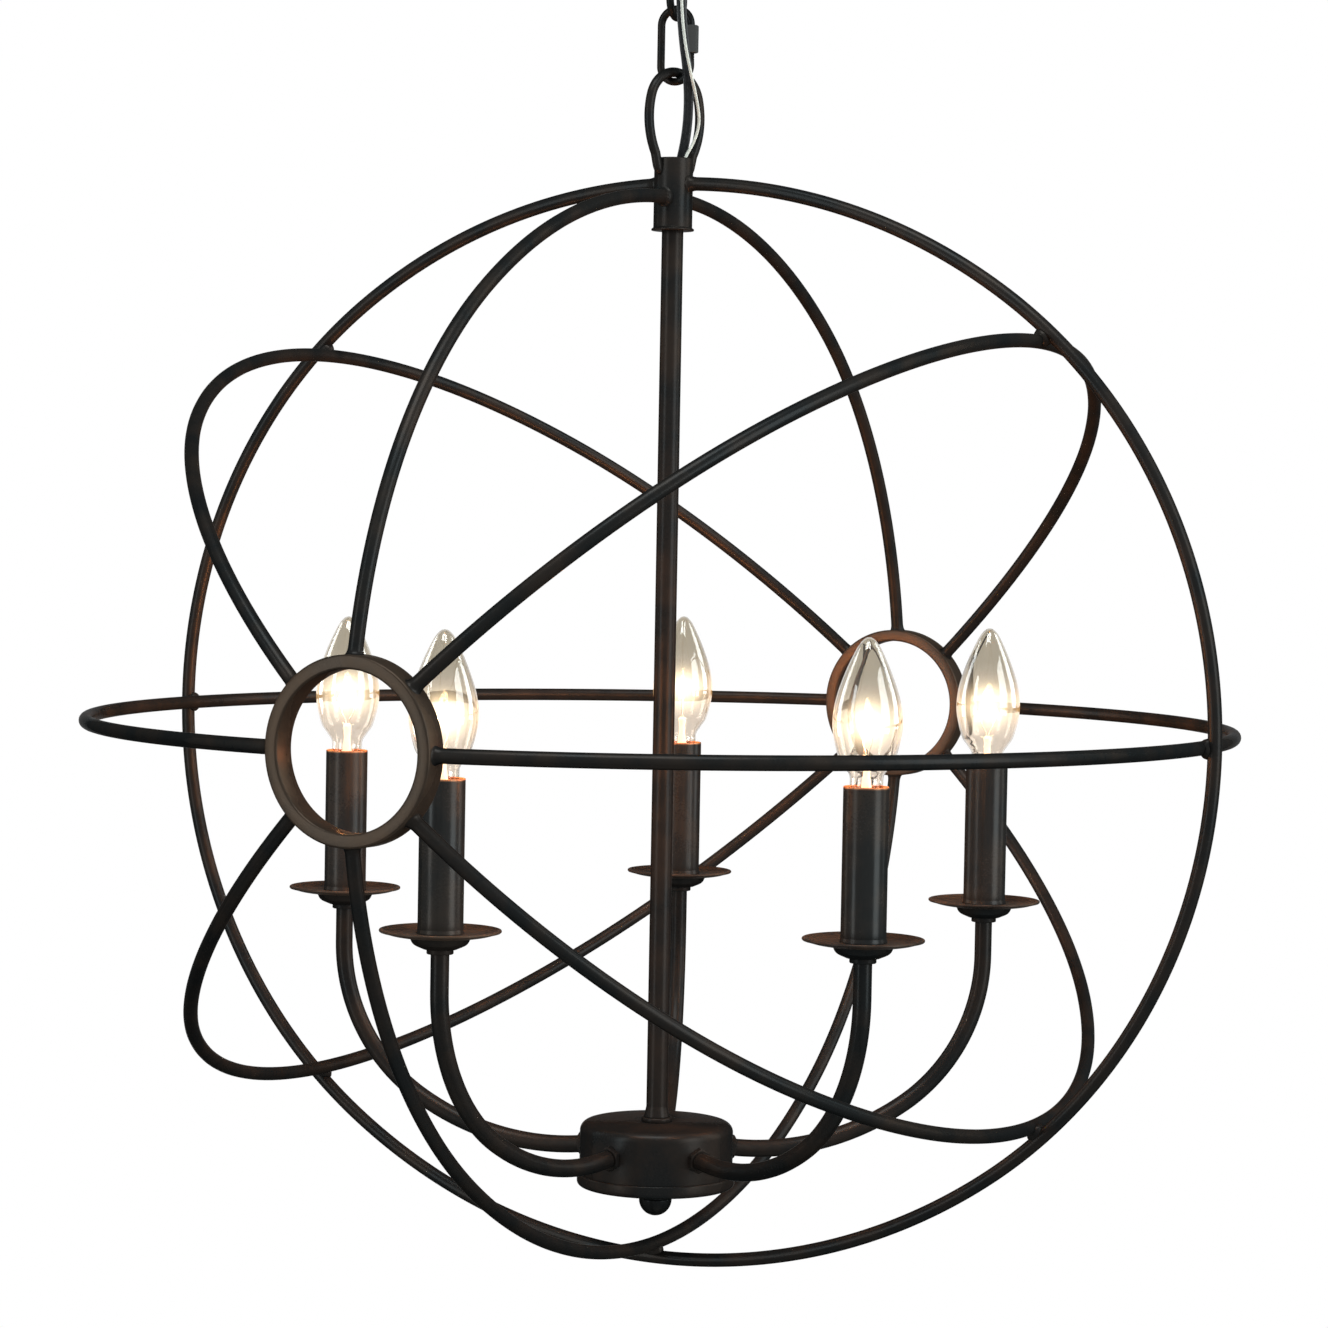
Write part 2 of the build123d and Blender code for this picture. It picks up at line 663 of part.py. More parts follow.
def lamp_socket():
    """A lamp socket on a hollow post that screws over the arm's upper end."""
    bore = bulb_base_radius + bulb_clearance
    z_low = z_socket_top - socket_length
    z_bore = z_socket_top - bulb_base_length - bulb_contact_height - bulb_clearance
    post_low = z_pan + pan_sheet
    post_bore = arm_radius + arm_fit
    return spun([(0, z_low), (post_bore, z_low), (post_bore, post_low), (socket_post_radius, post_low),
                 (socket_post_radius, z_low - socket_floor / 4), (socket_radius, z_low),
                 (socket_radius, z_socket_top), (bore, z_socket_top), (bore, z_bore), (0, z_bore)])


def glass_outline(shrink):
    """The bulb's half outline from its collar to its tip, drawn in by the glass's thickness."""
    shares = [(0.467, 0), (0.64, 0.125), (0.934, 0.27), (1, 0.43), (0.9, 0.59), (0.725, 0.72),
              (0.455, 0.87), (0.25, 0.96)]
    points = [(bulb_base_radius - shrink, z_socket_top)]
    points += [(wide * bulb_radius - shrink, z_sleeve_top + high * bulb_visible_height)
               for wide, high in shares]
    points.append((0, z_sleeve_top + bulb_visible_height - shrink))
    curve = Spline(*[(r, 0, z) for r, z in points], tangents=[(0, 0, 1), (-1, 0, 0)])
    foot = (0, 0, z_socket_top)
    edges = [curve, Line((0, 0, points[-1][1]), foot), Line(foot, (points[0][0], 0, z_socket_top))]
    return make_face(Wire(edges))


def bulb_glass():
    """The clear envelope, and the glass stem that holds the filament's wires."""
    envelope = revolve(glass_outline(0), Axis.Z) - revolve(glass_outline(glass_wall), Axis.Z)
    stem = Pos(0, 0, z_socket_top) * Cone(
        bulb_base_radius - 2.5 * glass_wall, glass_stem_radius, socket_below_sleeve + glass_stem_height,
        align=(Align.CENTER, Align.CENTER, Align.MIN))
    return [envelope, stem]


def bulb_base():
    """The screw shell with its end contact, and the filament on its two wires."""
    z_low = z_socket_top - bulb_base_length
    shell = post(bulb_base_radius, bulb_base_length, z_low)
    shell += post(bulb_contact_radius, bulb_contact_height, z_low - bulb_contact_height)
    z_wires = z_sleeve_top + glass_stem_height
    foot = glass_stem_radius - 1.4 * filament_radius
    left = [(-foot, 0, z_wires), (-foot, 0, z_wires + 2), (-filament_half_width, 0, z_wires + filament_rise)]
    points = left + [(-x, y, z) for x, y, z in reversed(left)]
    path = FilletPolyline(*points, radius=filament_half_width / 4)
    return [shell, sweep_round(path, filament_radius)]


# ---- Cord and ground wire ----
# Points across (x) and through (y) the quick link's plane, with heights over the cage's centre.
cord_route = [(0, 0, 440), (0, 0.4, 414), (4.4, -1.6, 402.5), (5.9, -7.2, 389), (6.0, -9.4, 371),
              (7.6, -8.8, 350.5), (9.2, -6.4, 335), (8.7, -2.4, 320), (6.6, 1.1, 305), (3.9, 1.3, 291),
              (0, 0, 276), (0, 0, 261.5)]
ground_route = [(1.3, -3.4, 440), (1.4, -3.5, 408), (5.2, -7.2, 399), (7.4, -11.5, 387), (7.8, -13.2, 370),
                (9.5, -12.4, 350), (11.9, -9.4, 334), (12.9, -2.6, 321), (13.4, 1.8, 309), (10.6, 1.5, 299),
                (6.3, -2.9, 289), (5.4, -4.0, 276), (5.3, -4.0, 261.5)]


def route_tube(name, route, radius):
    """A tube whose straight runs are joined by arcs as large as its runs allow."""
    points = [along_link(x, y, z_centre + z) for x, y, z in route]
    radii = []
    for a, b, c in zip(points, points[1:], points[2:]):
        turn = radians((b - a).get_angle(c - b))
        radii.append(0.45 * min((b - a).length, (c - b).length) / tan(turn / 2))
    path = FilletPolyline(*points, radius=radii)
    tube = sweep_round(path, radius)
    length = sum(edge.length for edge in path.edges())
    print(name, "length", round(length, 1), "volume over section x length",
          round(tube.volume / (pi * radius**2 * length), 4))
    print("  radii", [round(r, 1) for r in radii])
    return tube


# ---- All nodes ----
cage_rods = {
    "main_ring": main_ring(),
    "meridian_rod_front": quarter_rod(False),
    "meridian_rod_back": quarter_rod(True),
}
for name, angle in rod_angles.items():
    cage_rods[name] = half_rod(angle)

nodes = {
    "crossbar": crossbar(),
    "canopy": canopy(),
    "canopy_nipple": canopy_nipple(),
    "nipple_nut": nipple_nut(),
    "canopy_connectors": canopy_connectors(),
    "collar_loop": collar_loop(),
    "chain_link": chain_link(),
    "quick_link": quick_link(),
    "quick_link_nut": quick_link_nut(),
    "hanging_loop": hanging_loop(),
    "top_hub": top_hub(),
    "hub_ring_nut": hub_ring_nut(),
    "stem_tube": stem_tube(),
    "stem_collar": stem_collar(),
    "centre_rod": centre_rod(),
    "drum_cup": drum_cup(),
    "drum_tray": drum_tray(),
    "ball_finial": ball_finial(),
    "lock_nuts": lock_nuts(),
    "arm_collars": arm_collars(),
    "inner_leads": inner_leads(),
    "drum_connectors": drum_connectors(),
    "porthole_ring_front": porthole_ring(-1),
    "porthole_ring_back": porthole_ring(1),
    "weld_beads": weld_beads(cage_rods),
    "supply_cord": route_tube("supply_cord", cord_route, cord_radius),
    "ground_wire": route_tube("ground_wire", ground_route, ground_wire_radius),
    "husk_cups": [candle_at(angle, husk_cup()) for angle in arm_angles],
    "drip_pans": [candle_at(angle, drip_pan()) for angle in arm_angles],
    "lamp_sockets": [candle_at(angle, lamp_socket()) for angle in arm_angles],
}
nodes.update(cage_rods)
for number, angle in enumerate(arm_angles, 1):
    nodes[f"arm_{number}"] = arm(angle)
    nodes[f"candle_sleeve_{number}"] = candle_at(angle, candle_sleeve())
    nodes[f"bulb_glass_{number}"] = [candle_at(angle, piece) for piece in bulb_glass()]
    nodes[f"bulb_base_{number}"] = [candle_at(angle, piece) for piece in bulb_base()]

os.makedirs("parts", exist_ok=True)
for name, shape in nodes.items():
    solids = []
    for piece in shape if isinstance(shape, list) else [shape]:
        solids.extend(piece.solids())
    export_step(solids[0] if len(solids) == 1 else Compound(children=solids), f"parts/{name}.step")
print("nodes", len(nodes))
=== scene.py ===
import bmesh
import bpy
import numpy as np
from mathutils import Matrix, Vector


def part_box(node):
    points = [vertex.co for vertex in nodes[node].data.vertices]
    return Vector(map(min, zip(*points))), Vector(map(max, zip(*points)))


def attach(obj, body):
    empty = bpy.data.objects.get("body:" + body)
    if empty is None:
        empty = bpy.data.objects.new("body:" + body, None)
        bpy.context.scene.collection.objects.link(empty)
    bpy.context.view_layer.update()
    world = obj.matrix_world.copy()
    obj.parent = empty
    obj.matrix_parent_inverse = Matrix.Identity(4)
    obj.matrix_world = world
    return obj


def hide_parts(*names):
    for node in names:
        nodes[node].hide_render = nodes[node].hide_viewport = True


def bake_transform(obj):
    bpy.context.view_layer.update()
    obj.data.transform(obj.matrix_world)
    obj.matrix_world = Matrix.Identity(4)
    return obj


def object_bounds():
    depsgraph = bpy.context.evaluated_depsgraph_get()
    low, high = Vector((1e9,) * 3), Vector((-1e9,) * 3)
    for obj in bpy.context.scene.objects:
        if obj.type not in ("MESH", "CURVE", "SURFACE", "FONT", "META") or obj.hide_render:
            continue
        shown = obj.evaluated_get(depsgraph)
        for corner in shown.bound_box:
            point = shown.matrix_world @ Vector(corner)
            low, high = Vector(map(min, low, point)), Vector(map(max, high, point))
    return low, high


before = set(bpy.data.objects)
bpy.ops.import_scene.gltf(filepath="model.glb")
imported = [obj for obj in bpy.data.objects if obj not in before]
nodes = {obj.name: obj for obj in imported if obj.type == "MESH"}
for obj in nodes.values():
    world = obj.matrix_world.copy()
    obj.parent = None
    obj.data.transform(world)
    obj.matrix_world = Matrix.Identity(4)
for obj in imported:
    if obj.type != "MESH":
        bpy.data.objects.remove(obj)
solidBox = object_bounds()
scene = bpy.context.scene
mm = 0.001
print("frame loaded:", len(nodes), "nodes")


def low(node, axis=2):
    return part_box(node)[0][axis]


def high(node, axis=2):
    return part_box(node)[1][axis]


# Half a node's width along an axis: its radius where it is round.
def half(node, axis=0):
    return (high(node, axis) - low(node, axis)) / 2


def middle(node):
    return (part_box(node)[0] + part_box(node)[1]) / 2


orbMiddle = middle("porthole_ring_front").z
rodRadius = half("main_ring", 1)
hubRadius = half("top_hub")
linkTurn = 5.0   # degrees from X to the quick link's plane

# The camera's angles turn the scene round the cage's middle, then aim and roll the lens.
camera = {"turn": -27.265, "rise": 3.193, "aimRight": -0.014, "aimUp": -0.953, "roll": 1.026,
          "distance": 1845.6 * mm, "sensor": 36.0, "focalPixels": 3571.8, "imagePixels": 1328.0,
          "near": 0.01, "far": 50.0}


def turned(axis, degrees):
    return Matrix.Rotation(np.radians(degrees), 3, axis)


def makeCamera(c):
    around = turned("X", c["rise"]) @ turned("Z", c["turn"])
    view = turned("Y", c["roll"]) @ turned("Z", c["aimRight"]) @ turned("X", c["aimUp"]) @ around
    place = Vector((0, 0, orbMiddle)) - around.transposed() @ Vector((0, c["distance"], 0))
    right, forward, up = view[0], view[1], view[2]
    data = bpy.data.cameras.new("camera")
    data.sensor_width = c["sensor"]
    data.lens = c["sensor"] * c["focalPixels"] / c["imagePixels"]
    data.clip_start, data.clip_end = c["near"], c["far"]
    eye = bpy.data.objects.new("camera", data)
    scene.collection.objects.link(eye)
    eye.matrix_world = Matrix.Translation(place) @ Matrix((right, up, -forward)).transposed().to_4x4()
    scene.camera = eye
    return right, forward


eyeRight, eyeForward = makeCamera(camera)
print("camera placed")


# Shader building: a node with its settings, then its sockets fed by another node's output or a value.
def addNode(tree, kind, at=(0, 0), **settings):
    node = tree.nodes.new(kind)
    node.location = at
    for key, value in settings.items():
        setattr(node, key, value)
    return node


def feed(tree, source, node, socket):
    target = node.inputs[socket]
    if hasattr(source, "is_output"):
        tree.links.new(source, target)
    elif target.type == "RGBA" and len(source) == 3:
        target.default_value = (*source, 1.0)
    else:
        target.default_value = source


def maths(tree, operation, a, b=0.0, clamp=False):
    node = addNode(tree, "ShaderNodeMath", operation=operation, use_clamp=clamp)
    feed(tree, a, node, 0)
    feed(tree, b, node, 1)
    return node.outputs[0]


def blendColour(tree, factor, a, b):
    node = addNode(tree, "ShaderNodeMix", data_type="RGBA", blend_type="MIX")
    feed(tree, factor, node, 0)
    feed(tree, a, node, 6)
    feed(tree, b, node, 7)
    return node.outputs[2]


def noise(tree, vector, scale, detail=3.0, roughness=0.55):
    node = addNode(tree, "ShaderNodeTexNoise")
    for socket, value in (("Vector", vector), ("Scale", scale), ("Detail", detail), ("Roughness", roughness)):
        feed(tree, value, node, socket)
    return node.outputs["Fac"]


# Maps a value's range onto another one and stays inside it.
def spread(tree, value, fromLow, fromHigh, toLow=0.0, toHigh=1.0):
    node = addNode(tree, "ShaderNodeMapRange", clamp=True)
    for socket, number in zip(("Value", "From Min", "From Max", "To Min", "To Max"),
                              (value, fromLow, fromHigh, toLow, toHigh)):
        feed(tree, number, node, socket)
    return node.outputs[0]


# A group takes a place, colours and numbers. It gives a colour, a roughness and a height.
def newGroup(name, colours, numbers):
    group = bpy.data.node_groups.new(name, "ShaderNodeTree")
    given = {"Vector": "Vector", **dict.fromkeys(colours, "Color"), **dict.fromkeys(numbers, "Float")}
    made = {"Color": "Color", "Roughness": "Float", "Height": "Float"}
    for sockets, way in ((given, "INPUT"), (made, "OUTPUT")):
        for label, kind in sockets.items():
            group.interface.new_socket(name=label, in_out=way, socket_type="NodeSocket" + kind)
    start = addNode(group, "NodeGroupInput", (-900, 0))
    return group, start.outputs, addNode(group, "NodeGroupOutput", (700, 0))


def endGroup(group, end, colour, rough, height):
    for value, label in ((colour, "Color"), (rough, "Roughness"), (height, "Height")):
        feed(group, value, end, label)


paint = {"cover": (0.40, 0.64), "speckle": (0.62, 0.76), "speckleShare": 0.14, "fleck": (0.08, 0.07, 0.06),
         "fleckShare": 0.4, "peelScale": 0.35, "peelShare": 0.7, "patchNoise": (4.0, 0.6),
         "grainNoise": (2.0, 0.5), "peelNoise": (1.0, 0.4), "patchRough": (0.3, 0.7, -0.06, 0.08),
         "grainRough": (0.35, 0.7, -0.02, 0.03)}
drawn = {"stretch": (1.0, 1.0, 0.08), "lineScale": 900.0, "lineNoise": (3.0, 0.6), "stainScale": 120.0,
         "stainNoise": (4.0, 0.6), "stainCover": (0.45, 0.7, 0.0, 0.8), "stainRough": (0.3, 0.75, -0.05, 0.2),
         "lineRough": (0.3, 0.7, -0.04, 0.04)}


# Baked dark paint: broad soft patches of a second colour, a fine speckle and an orange-peel height.
def makePaintGroup(c):
    group, given, end = newGroup("bakedPaint", ["Paint", "Patch"], ["Sheen", "Patch Scale", "Grain Scale"])
    patches = noise(group, given["Vector"], given["Patch Scale"], *c["patchNoise"])
    grain = noise(group, given["Vector"], given["Grain Scale"], *c["grainNoise"])
    peelScale = maths(group, "MULTIPLY", given["Grain Scale"], c["peelScale"])
    peel = noise(group, given["Vector"], peelScale, *c["peelNoise"])
    colour = blendColour(group, spread(group, patches, *c["cover"]), given["Paint"], given["Patch"])
    fleck = blendColour(group, c["fleckShare"], given["Patch"], c["fleck"])
    colour = blendColour(group, spread(group, grain, *c["speckle"], 0.0, c["speckleShare"]), colour, fleck)
    rough = maths(group, "ADD", given["Sheen"], spread(group, patches, *c["patchRough"]))
    rough = maths(group, "ADD", rough, spread(group, grain, *c["grainRough"]))
    height = maths(group, "ADD", maths(group, "MULTIPLY", peel, c["peelShare"]),
                   maths(group, "MULTIPLY", grain, 1 - c["peelShare"]))
    endGroup(group, end, colour, rough, height)
    return group


# Bare or plated metal: fine lines drawn along one direction, with dull stains.
def makeDrawnGroup(c):
    group, given, end = newGroup("drawnMetal", ["Metal", "Stain"], ["Sheen"])
    stretch = addNode(group, "ShaderNodeVectorMath", operation="MULTIPLY")
    feed(group, given["Vector"], stretch, 0)
    feed(group, c["stretch"], stretch, 1)
    lines = noise(group, stretch.outputs[0], c["lineScale"], *c["lineNoise"])
    stains = noise(group, given["Vector"], c["stainScale"], *c["stainNoise"])
    cover = spread(group, stains, *c["stainCover"])
    rough = maths(group, "ADD", given["Sheen"], spread(group, stains, *c["stainRough"]))
    rough = maths(group, "ADD", rough, spread(group, lines, *c["lineRough"]))
    endGroup(group, end, blendColour(group, cover, given["Metal"], given["Stain"]), rough, lines)
    return group


paintGroup = makePaintGroup(paint)
drawnGroup = makeDrawnGroup(drawn)


def newMaterial(name):
    material = bpy.data.materials.new(name)
    material.use_nodes = True
    tree = material.node_tree
    tree.nodes.clear()
    shader = addNode(tree, "ShaderNodeBsdfPrincipled", (200, 0))
    output = addNode(tree, "ShaderNodeOutputMaterial", (600, 0))
    feed(tree, shader.outputs[0], output, 0)
    return material, tree, shader, output


def placeOn(tree):
    return addNode(tree, "ShaderNodeTexCoord", (-700, 0)).outputs["Object"]


def heightOn(tree):
    parts = addNode(tree, "ShaderNodeSeparateXYZ")
    feed(tree, placeOn(tree), parts, 0)
    return parts.outputs["Z"]


def bumpFrom(tree, height, depth, shader, strength=1.0):
    bump = addNode(tree, "ShaderNodeBump", (-100, -300))
    for socket, value in (("Height", height), ("Distance", depth), ("Strength", strength)):
        feed(tree, value, bump, socket)
    feed(tree, bump.outputs[0], shader, "Normal")


# A metal made by one of the groups, whose inputs take the values given.
def groupMetal(name, nodeGroup, values, metallic, depth):
    material, tree, shader, _ = newMaterial(name)
    group = addNode(tree, "ShaderNodeGroup", (-400, 0), node_tree=nodeGroup)
    feed(tree, placeOn(tree), group, "Vector")
    for socket, value in values.items():
        feed(tree, value, group, socket)
    feed(tree, group.outputs["Color"], shader, "Base Color")
    feed(tree, group.outputs["Roughness"], shader, "Roughness")
    feed(tree, metallic, shader, "Metallic")
    bumpFrom(tree, group.outputs["Height"], depth, shader)
    return material, tree, shader, group


# Painted metal is half metallic, with a dark edge tint: the surround is white and would whiten it.
def paintedMetal(name, look):
    values = {"Paint": look["paint"], "Patch": look["patch"], "Sheen": look["sheen"],
              "Patch Scale": look["patchScale"], "Grain Scale": look["grainScale"]}
    material, tree, shader, group = groupMetal(name, paintGroup, values, look["metallic"], look["peel"])
    feed(tree, 0.0, shader, "Specular IOR Level")
    feed(tree, (look["edge"],) * 3, shader, "Specular Tint")
    return material, tree, shader, group


def drawnMetal(name, metal, stain, sheen):
    values = {"Metal": metal, "Stain": stain, "Sheen": sheen}
    return groupMetal(name, drawnGroup, values, 1.0, 0.02 * mm)[0]


bronzeLook = {"paint": (0.0104, 0.0114, 0.0116), "patch": (0.0178, 0.0150, 0.0130), "sheen": 0.30,
              "metallic": 0.45, "edge": 0.12, "patchScale": 34.0, "grainScale": 900.0, "peel": 0.03 * mm}
candleLook = dict(bronzeLook, paint=(0.0168, 0.0176, 0.0175), patch=(0.0260, 0.0226, 0.0198), sheen=0.25)
# The drip pans' look is a lighter, warmer copy of the bronze: painted light for the bulbs' orange glow on
# them.
panLitLook = dict(bronzeLook, paint=(0.0245, 0.0200, 0.0172), patch=(0.0460, 0.0325, 0.0240), metallic=0.3)
nutLook = dict(bronzeLook, paint=(0.0520, 0.0545, 0.0530), patch=(0.0440, 0.0450, 0.0430), sheen=0.36)
# The porthole bands' look is a lighter, warmer copy of the bronze: painted light for the bulbs' golden glow
# on them.
portholeLitLook = dict(bronzeLook, paint=(0.0275, 0.0215, 0.0168), patch=(0.0400, 0.0285, 0.0205), metallic=0.4)
bronze = paintedMetal("agedBronze", bronzeLook)[0]
panLitBronze = paintedMetal("panLitBronze", panLitLook)[0]
portholeLitBronze = paintedMetal("portholeLitBronze", portholeLitLook)[0]
nutBronze = paintedMetal("nutBronze", nutLook)[0]
zinc = drawnMetal("zincPlate", (0.40, 0.40, 0.39), (0.25, 0.25, 0.24), 0.34)
brassShell = drawnMetal("brassShell", (0.83, 0.66, 0.36), (0.6, 0.45, 0.24), 0.26)


# Moulded plastic: nearly plain, with a faint mottle and a soft moulding texture.
def moulded(name, look):
    material, tree, shader, _ = newMaterial(name)
    mottle = noise(tree, placeOn(tree), look["scale"], 3.0, 0.5)
    colour = blendColour(tree, spread(tree, mottle, 0.35, 0.7), look["colour"], look["second"])
    rough = spread(tree, mottle, 0.3, 0.7, look["rough"] - 0.05, look["rough"] + 0.07)
    feed(tree, colour, shader, "Base Color")
    feed(tree, rough, shader, "Roughness")
    feed(tree, look["specular"], shader, "Specular IOR Level")
    bumpFrom(tree, mottle, look["depth"], shader)
    return material


plastic = {"colour": (0.70, 0.30, 0.04), "second": (0.62, 0.25, 0.03), "rough": 0.42, "scale": 260.0,
           "specular": 0.5, "depth": 0.04 * mm}
connectorPlastic = moulded("connectorPlastic", plastic)
socketPlastic = moulded("socketPlastic", dict(
    plastic, colour=(0.045, 0.040, 0.036), second=(0.06, 0.054, 0.048), rough=0.5))
leadSleeve = moulded("leadSleeve", dict(
    plastic, colour=(0.022, 0.022, 0.023), second=(0.035, 0.035, 0.036), rough=0.45, scale=700.0))
cordSleeve = moulded("cordSleeve", dict(
    plastic, colour=(0.007, 0.008, 0.009), second=(0.012, 0.013, 0.014), rough=0.3, scale=420.0,
    specular=0.08, depth=0.12 * mm))
groundSleeve = moulded("groundSleeve", dict(
    plastic, colour=(0.44, 0.46, 0.41), second=(0.36, 0.37, 0.33), rough=0.3, scale=500.0, specular=0.3))


# Surfaces: a grid holds points [along, around], with whether each of the two closes on itself. A face
# points outwards when the points run right-handed round the way that the rows go.
def meshObject(name, grids, material, sharp=32.0):
    points, faces, start = [], [], 0
    for grid, ringClosed, loopClosed in grids:
        rows, cols = grid.shape[:2]
        i = np.arange(rows if loopClosed else rows - 1)[:, None]
        j = np.arange(cols if ringClosed else cols - 1)[None, :]
        i2, j2 = (i + 1) % rows, (j + 1) % cols
        quads = np.stack([i * cols + j, i * cols + j2, i2 * cols + j2, i2 * cols + j], axis=-1)
        points.append(grid.reshape(-1, 3))
        faces.append(quads.reshape(-1, 4) + start)
        start += rows * cols
    vertices, quads = np.concatenate(points), np.concatenate(faces)
    mesh = bpy.data.meshes.new(name)
    mesh.vertices.add(len(vertices))
    mesh.vertices.foreach_set("co", vertices.astype(np.float32).ravel())
    mesh.loops.add(quads.size)
    mesh.loops.foreach_set("vertex_index", quads.astype(np.int32).ravel())
    mesh.polygons.add(len(quads))
    mesh.polygons.foreach_set("loop_start", np.arange(0, quads.size, 4, dtype=np.int32))
    mesh.update(calc_edges=True)
    closeSeams(mesh)
    mesh.shade_smooth()
    mesh.set_sharp_from_angle(angle=np.radians(sharp))
    mesh.materials.append(material)
    thing = bpy.data.objects.new(name, mesh)
    scene.collection.objects.link(thing)
    return thing


# Points that meet at a pole or a closed end become one.
def closeSeams(mesh):
    work = bmesh.new()
    work.from_mesh(mesh)
    bmesh.ops.remove_doubles(work, verts=work.verts, dist=2e-7)
    bmesh.ops.dissolve_degenerate(work, edges=work.edges, dist=1e-7)
    work.to_mesh(mesh)
    work.free()


# A piece rides on its body, or, with bends given, stays where it is in the world, and stands for its node.
def addPiece(name, grids, node, material=bronze, body="orb", sharp=32.0, bends=None):
    piece = meshObject(name, grids, material, sharp)
    if bends:
        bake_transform(piece)
    else:
        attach(piece, body)
    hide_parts(node)
    return piece


def circle(sides):
    return np.linspace(0, 2 * np.pi, sides, endpoint=False)


# Rows scaled to length one; the tiny addition lets a row of no length pass.
def unit(rows):
    return rows / (np.linalg.norm(rows, axis=-1, keepdims=True) + 1e-12)


# Points about an upright axis from their radius, angle and height.
def aboutAxis(radius, angle, height, place=(0.0, 0.0)):
    x, y = place[0] + radius * np.cos(angle), place[1] + radius * np.sin(angle)
    return np.stack([x, y, height + 0 * x], axis=-1)


# Turned shape: each outline point (radius, height) becomes a circle about an upright axis.
def turn(outline, place=(0.0, 0.0), sides=64, closed=False):
    outline = np.asarray(outline, float)
    return aboutAxis(outline[:, :1], circle(sides), outline[:, 1:], place), True, closed


def spun(corners, sides, place=(0.0, 0.0), steps=5):
    return turn(rounded(corners, steps), place, sides, closed=True)


# Moves a shape made about the Z axis onto another axis through a point.
def onAxis(shape, point, axis):
    grid, ring, closed = shape
    axis = unit(np.asarray(axis, float))
    helper = np.array([0.0, 0.0, 1.0]) if abs(axis[2]) < 0.9 else np.array([1.0, 0.0, 0.0])
    across = unit(np.cross(helper, axis))
    up = np.cross(axis, across)
    moved = grid[..., :1] * across + grid[..., 1:2] * up + grid[..., 2:] * axis
    return moved + np.asarray(point, float), ring, closed


# Corners (across, up, rounding) become a line where each rounding is an arc that touches both sides.
# The arc is a weighted quadratic curve whose weight is the sine of half the corner's angle.
def rounded(corners, steps=5):
    p = np.array([c[:2] for c in corners], float)
    radius = np.array([c[2] if len(c) > 2 else 0.0 for c in corners])
    back, ahead = (unit(np.roll(p, step, axis=0) - p) for step in (1, -1))
    halfAngle = np.arccos(np.clip((back * ahead).sum(1), -1, 1)) / 2
    cut = (radius / np.maximum(np.tan(halfAngle), 1e-6))[:, None]
    start, end = (p + back * cut)[:, None], (p + ahead * cut)[:, None]
    t = np.linspace(0, 1, steps)[None, :, None]
    pull = 2 * np.sin(halfAngle)[:, None, None] * t * (1 - t)
    arc = ((1 - t) ** 2 * start + pull * p[:, None] + t ** 2 * end) / ((1 - t) ** 2 + pull + t ** 2)
    return np.concatenate([arc[k] if radius[k] > 0 else p[k:k + 1] for k in range(len(p))])


# A smooth line through points: cubic pieces whose slope at a point is half the chord of its neighbours.
def smoothLine(points, steps=6):
    p = np.asarray(points, float)
    p = np.concatenate([2 * p[:1] - p[1:2], p, 2 * p[-1:] - p[-2:-1]])
    t = np.linspace(0, 1, steps, endpoint=False)[None, :, None]
    a, b, c, d = (p[k:len(p) - 3 + k][:, None] for k in range(4))
    line = 0.5 * (2 * b + (c - a) * t + (2 * a - 5 * b + 4 * c - d) * t**2
                  + (3 * b - a - 3 * c + d) * t**3)
    return np.concatenate([line.reshape(-1, p.shape[1]), p[-2:-1]])


# Arcs (centre across, centre up, radius, first angle, last angle in degrees) joined into one line.
def arcLine(arcs, spacing):
    runs = []
    for across, up, radius, first, last in arcs:
        count = max(3, int(abs(np.radians(last - first)) * abs(radius) / spacing))
        angle = np.radians(np.linspace(first, last, count + 1))
        run = np.stack([across + radius * np.cos(angle), up + radius * np.sin(angle)], axis=-1)
        runs.append(run[1:] if runs else run)
    return np.concatenate(runs)


def alongLine(line):
    return np.concatenate([[0.0], np.cumsum(np.linalg.norm(np.diff(line, axis=0), axis=1))])


# A plane through the Y axis at an angle over the equator: origin, across (+Y) and outwards.
def cagePlane(angle):
    a = np.radians(angle)
    return (0, 0, orbMiddle), (0, 1, 0), (np.cos(a), 0, np.sin(a))


# An upright plane turned from X: origin at height z, across and up.
def uprightPlane(degrees, z=0.0, place=(0.0, 0.0)):
    a = np.radians(degrees)
    return (place[0], place[1], z), (np.cos(a), np.sin(a), 0), (0, 0, 1)


# A round section carried along a line in a plane: a point is the line plus radius times the cosine of
# the turn towards the line's own side and the sine across the plane. Open ends close on the line.
def bentRod(line, plane, radius, sides=24, closed=False):
    origin, across, up = (np.asarray(v, float) for v in plane)
    path = origin + line[:, :1] * across + line[:, 1:] * up
    if closed:
        run = unit(np.roll(path, -1, axis=0) - np.roll(path, 1, axis=0))
    else:
        run = unit(np.gradient(path, axis=0))
    side = np.cross(across, up)
    out = np.cross(side, run)
    angle = circle(sides)[None, :, None]
    radius = np.broadcast_to(radius, len(path))[:, None, None]
    grid = path[:, None] + radius * (np.cos(angle) * out[:, None] + np.sin(angle) * side)
    return grid if closed else closeEnds(grid, path), True, closed


def closeEnds(grid, path):
    first, last = (np.repeat(path[k:k + 1, None], grid.shape[1], axis=1) for k in (0, len(path) - 1))
    return np.concatenate([first, grid, last])


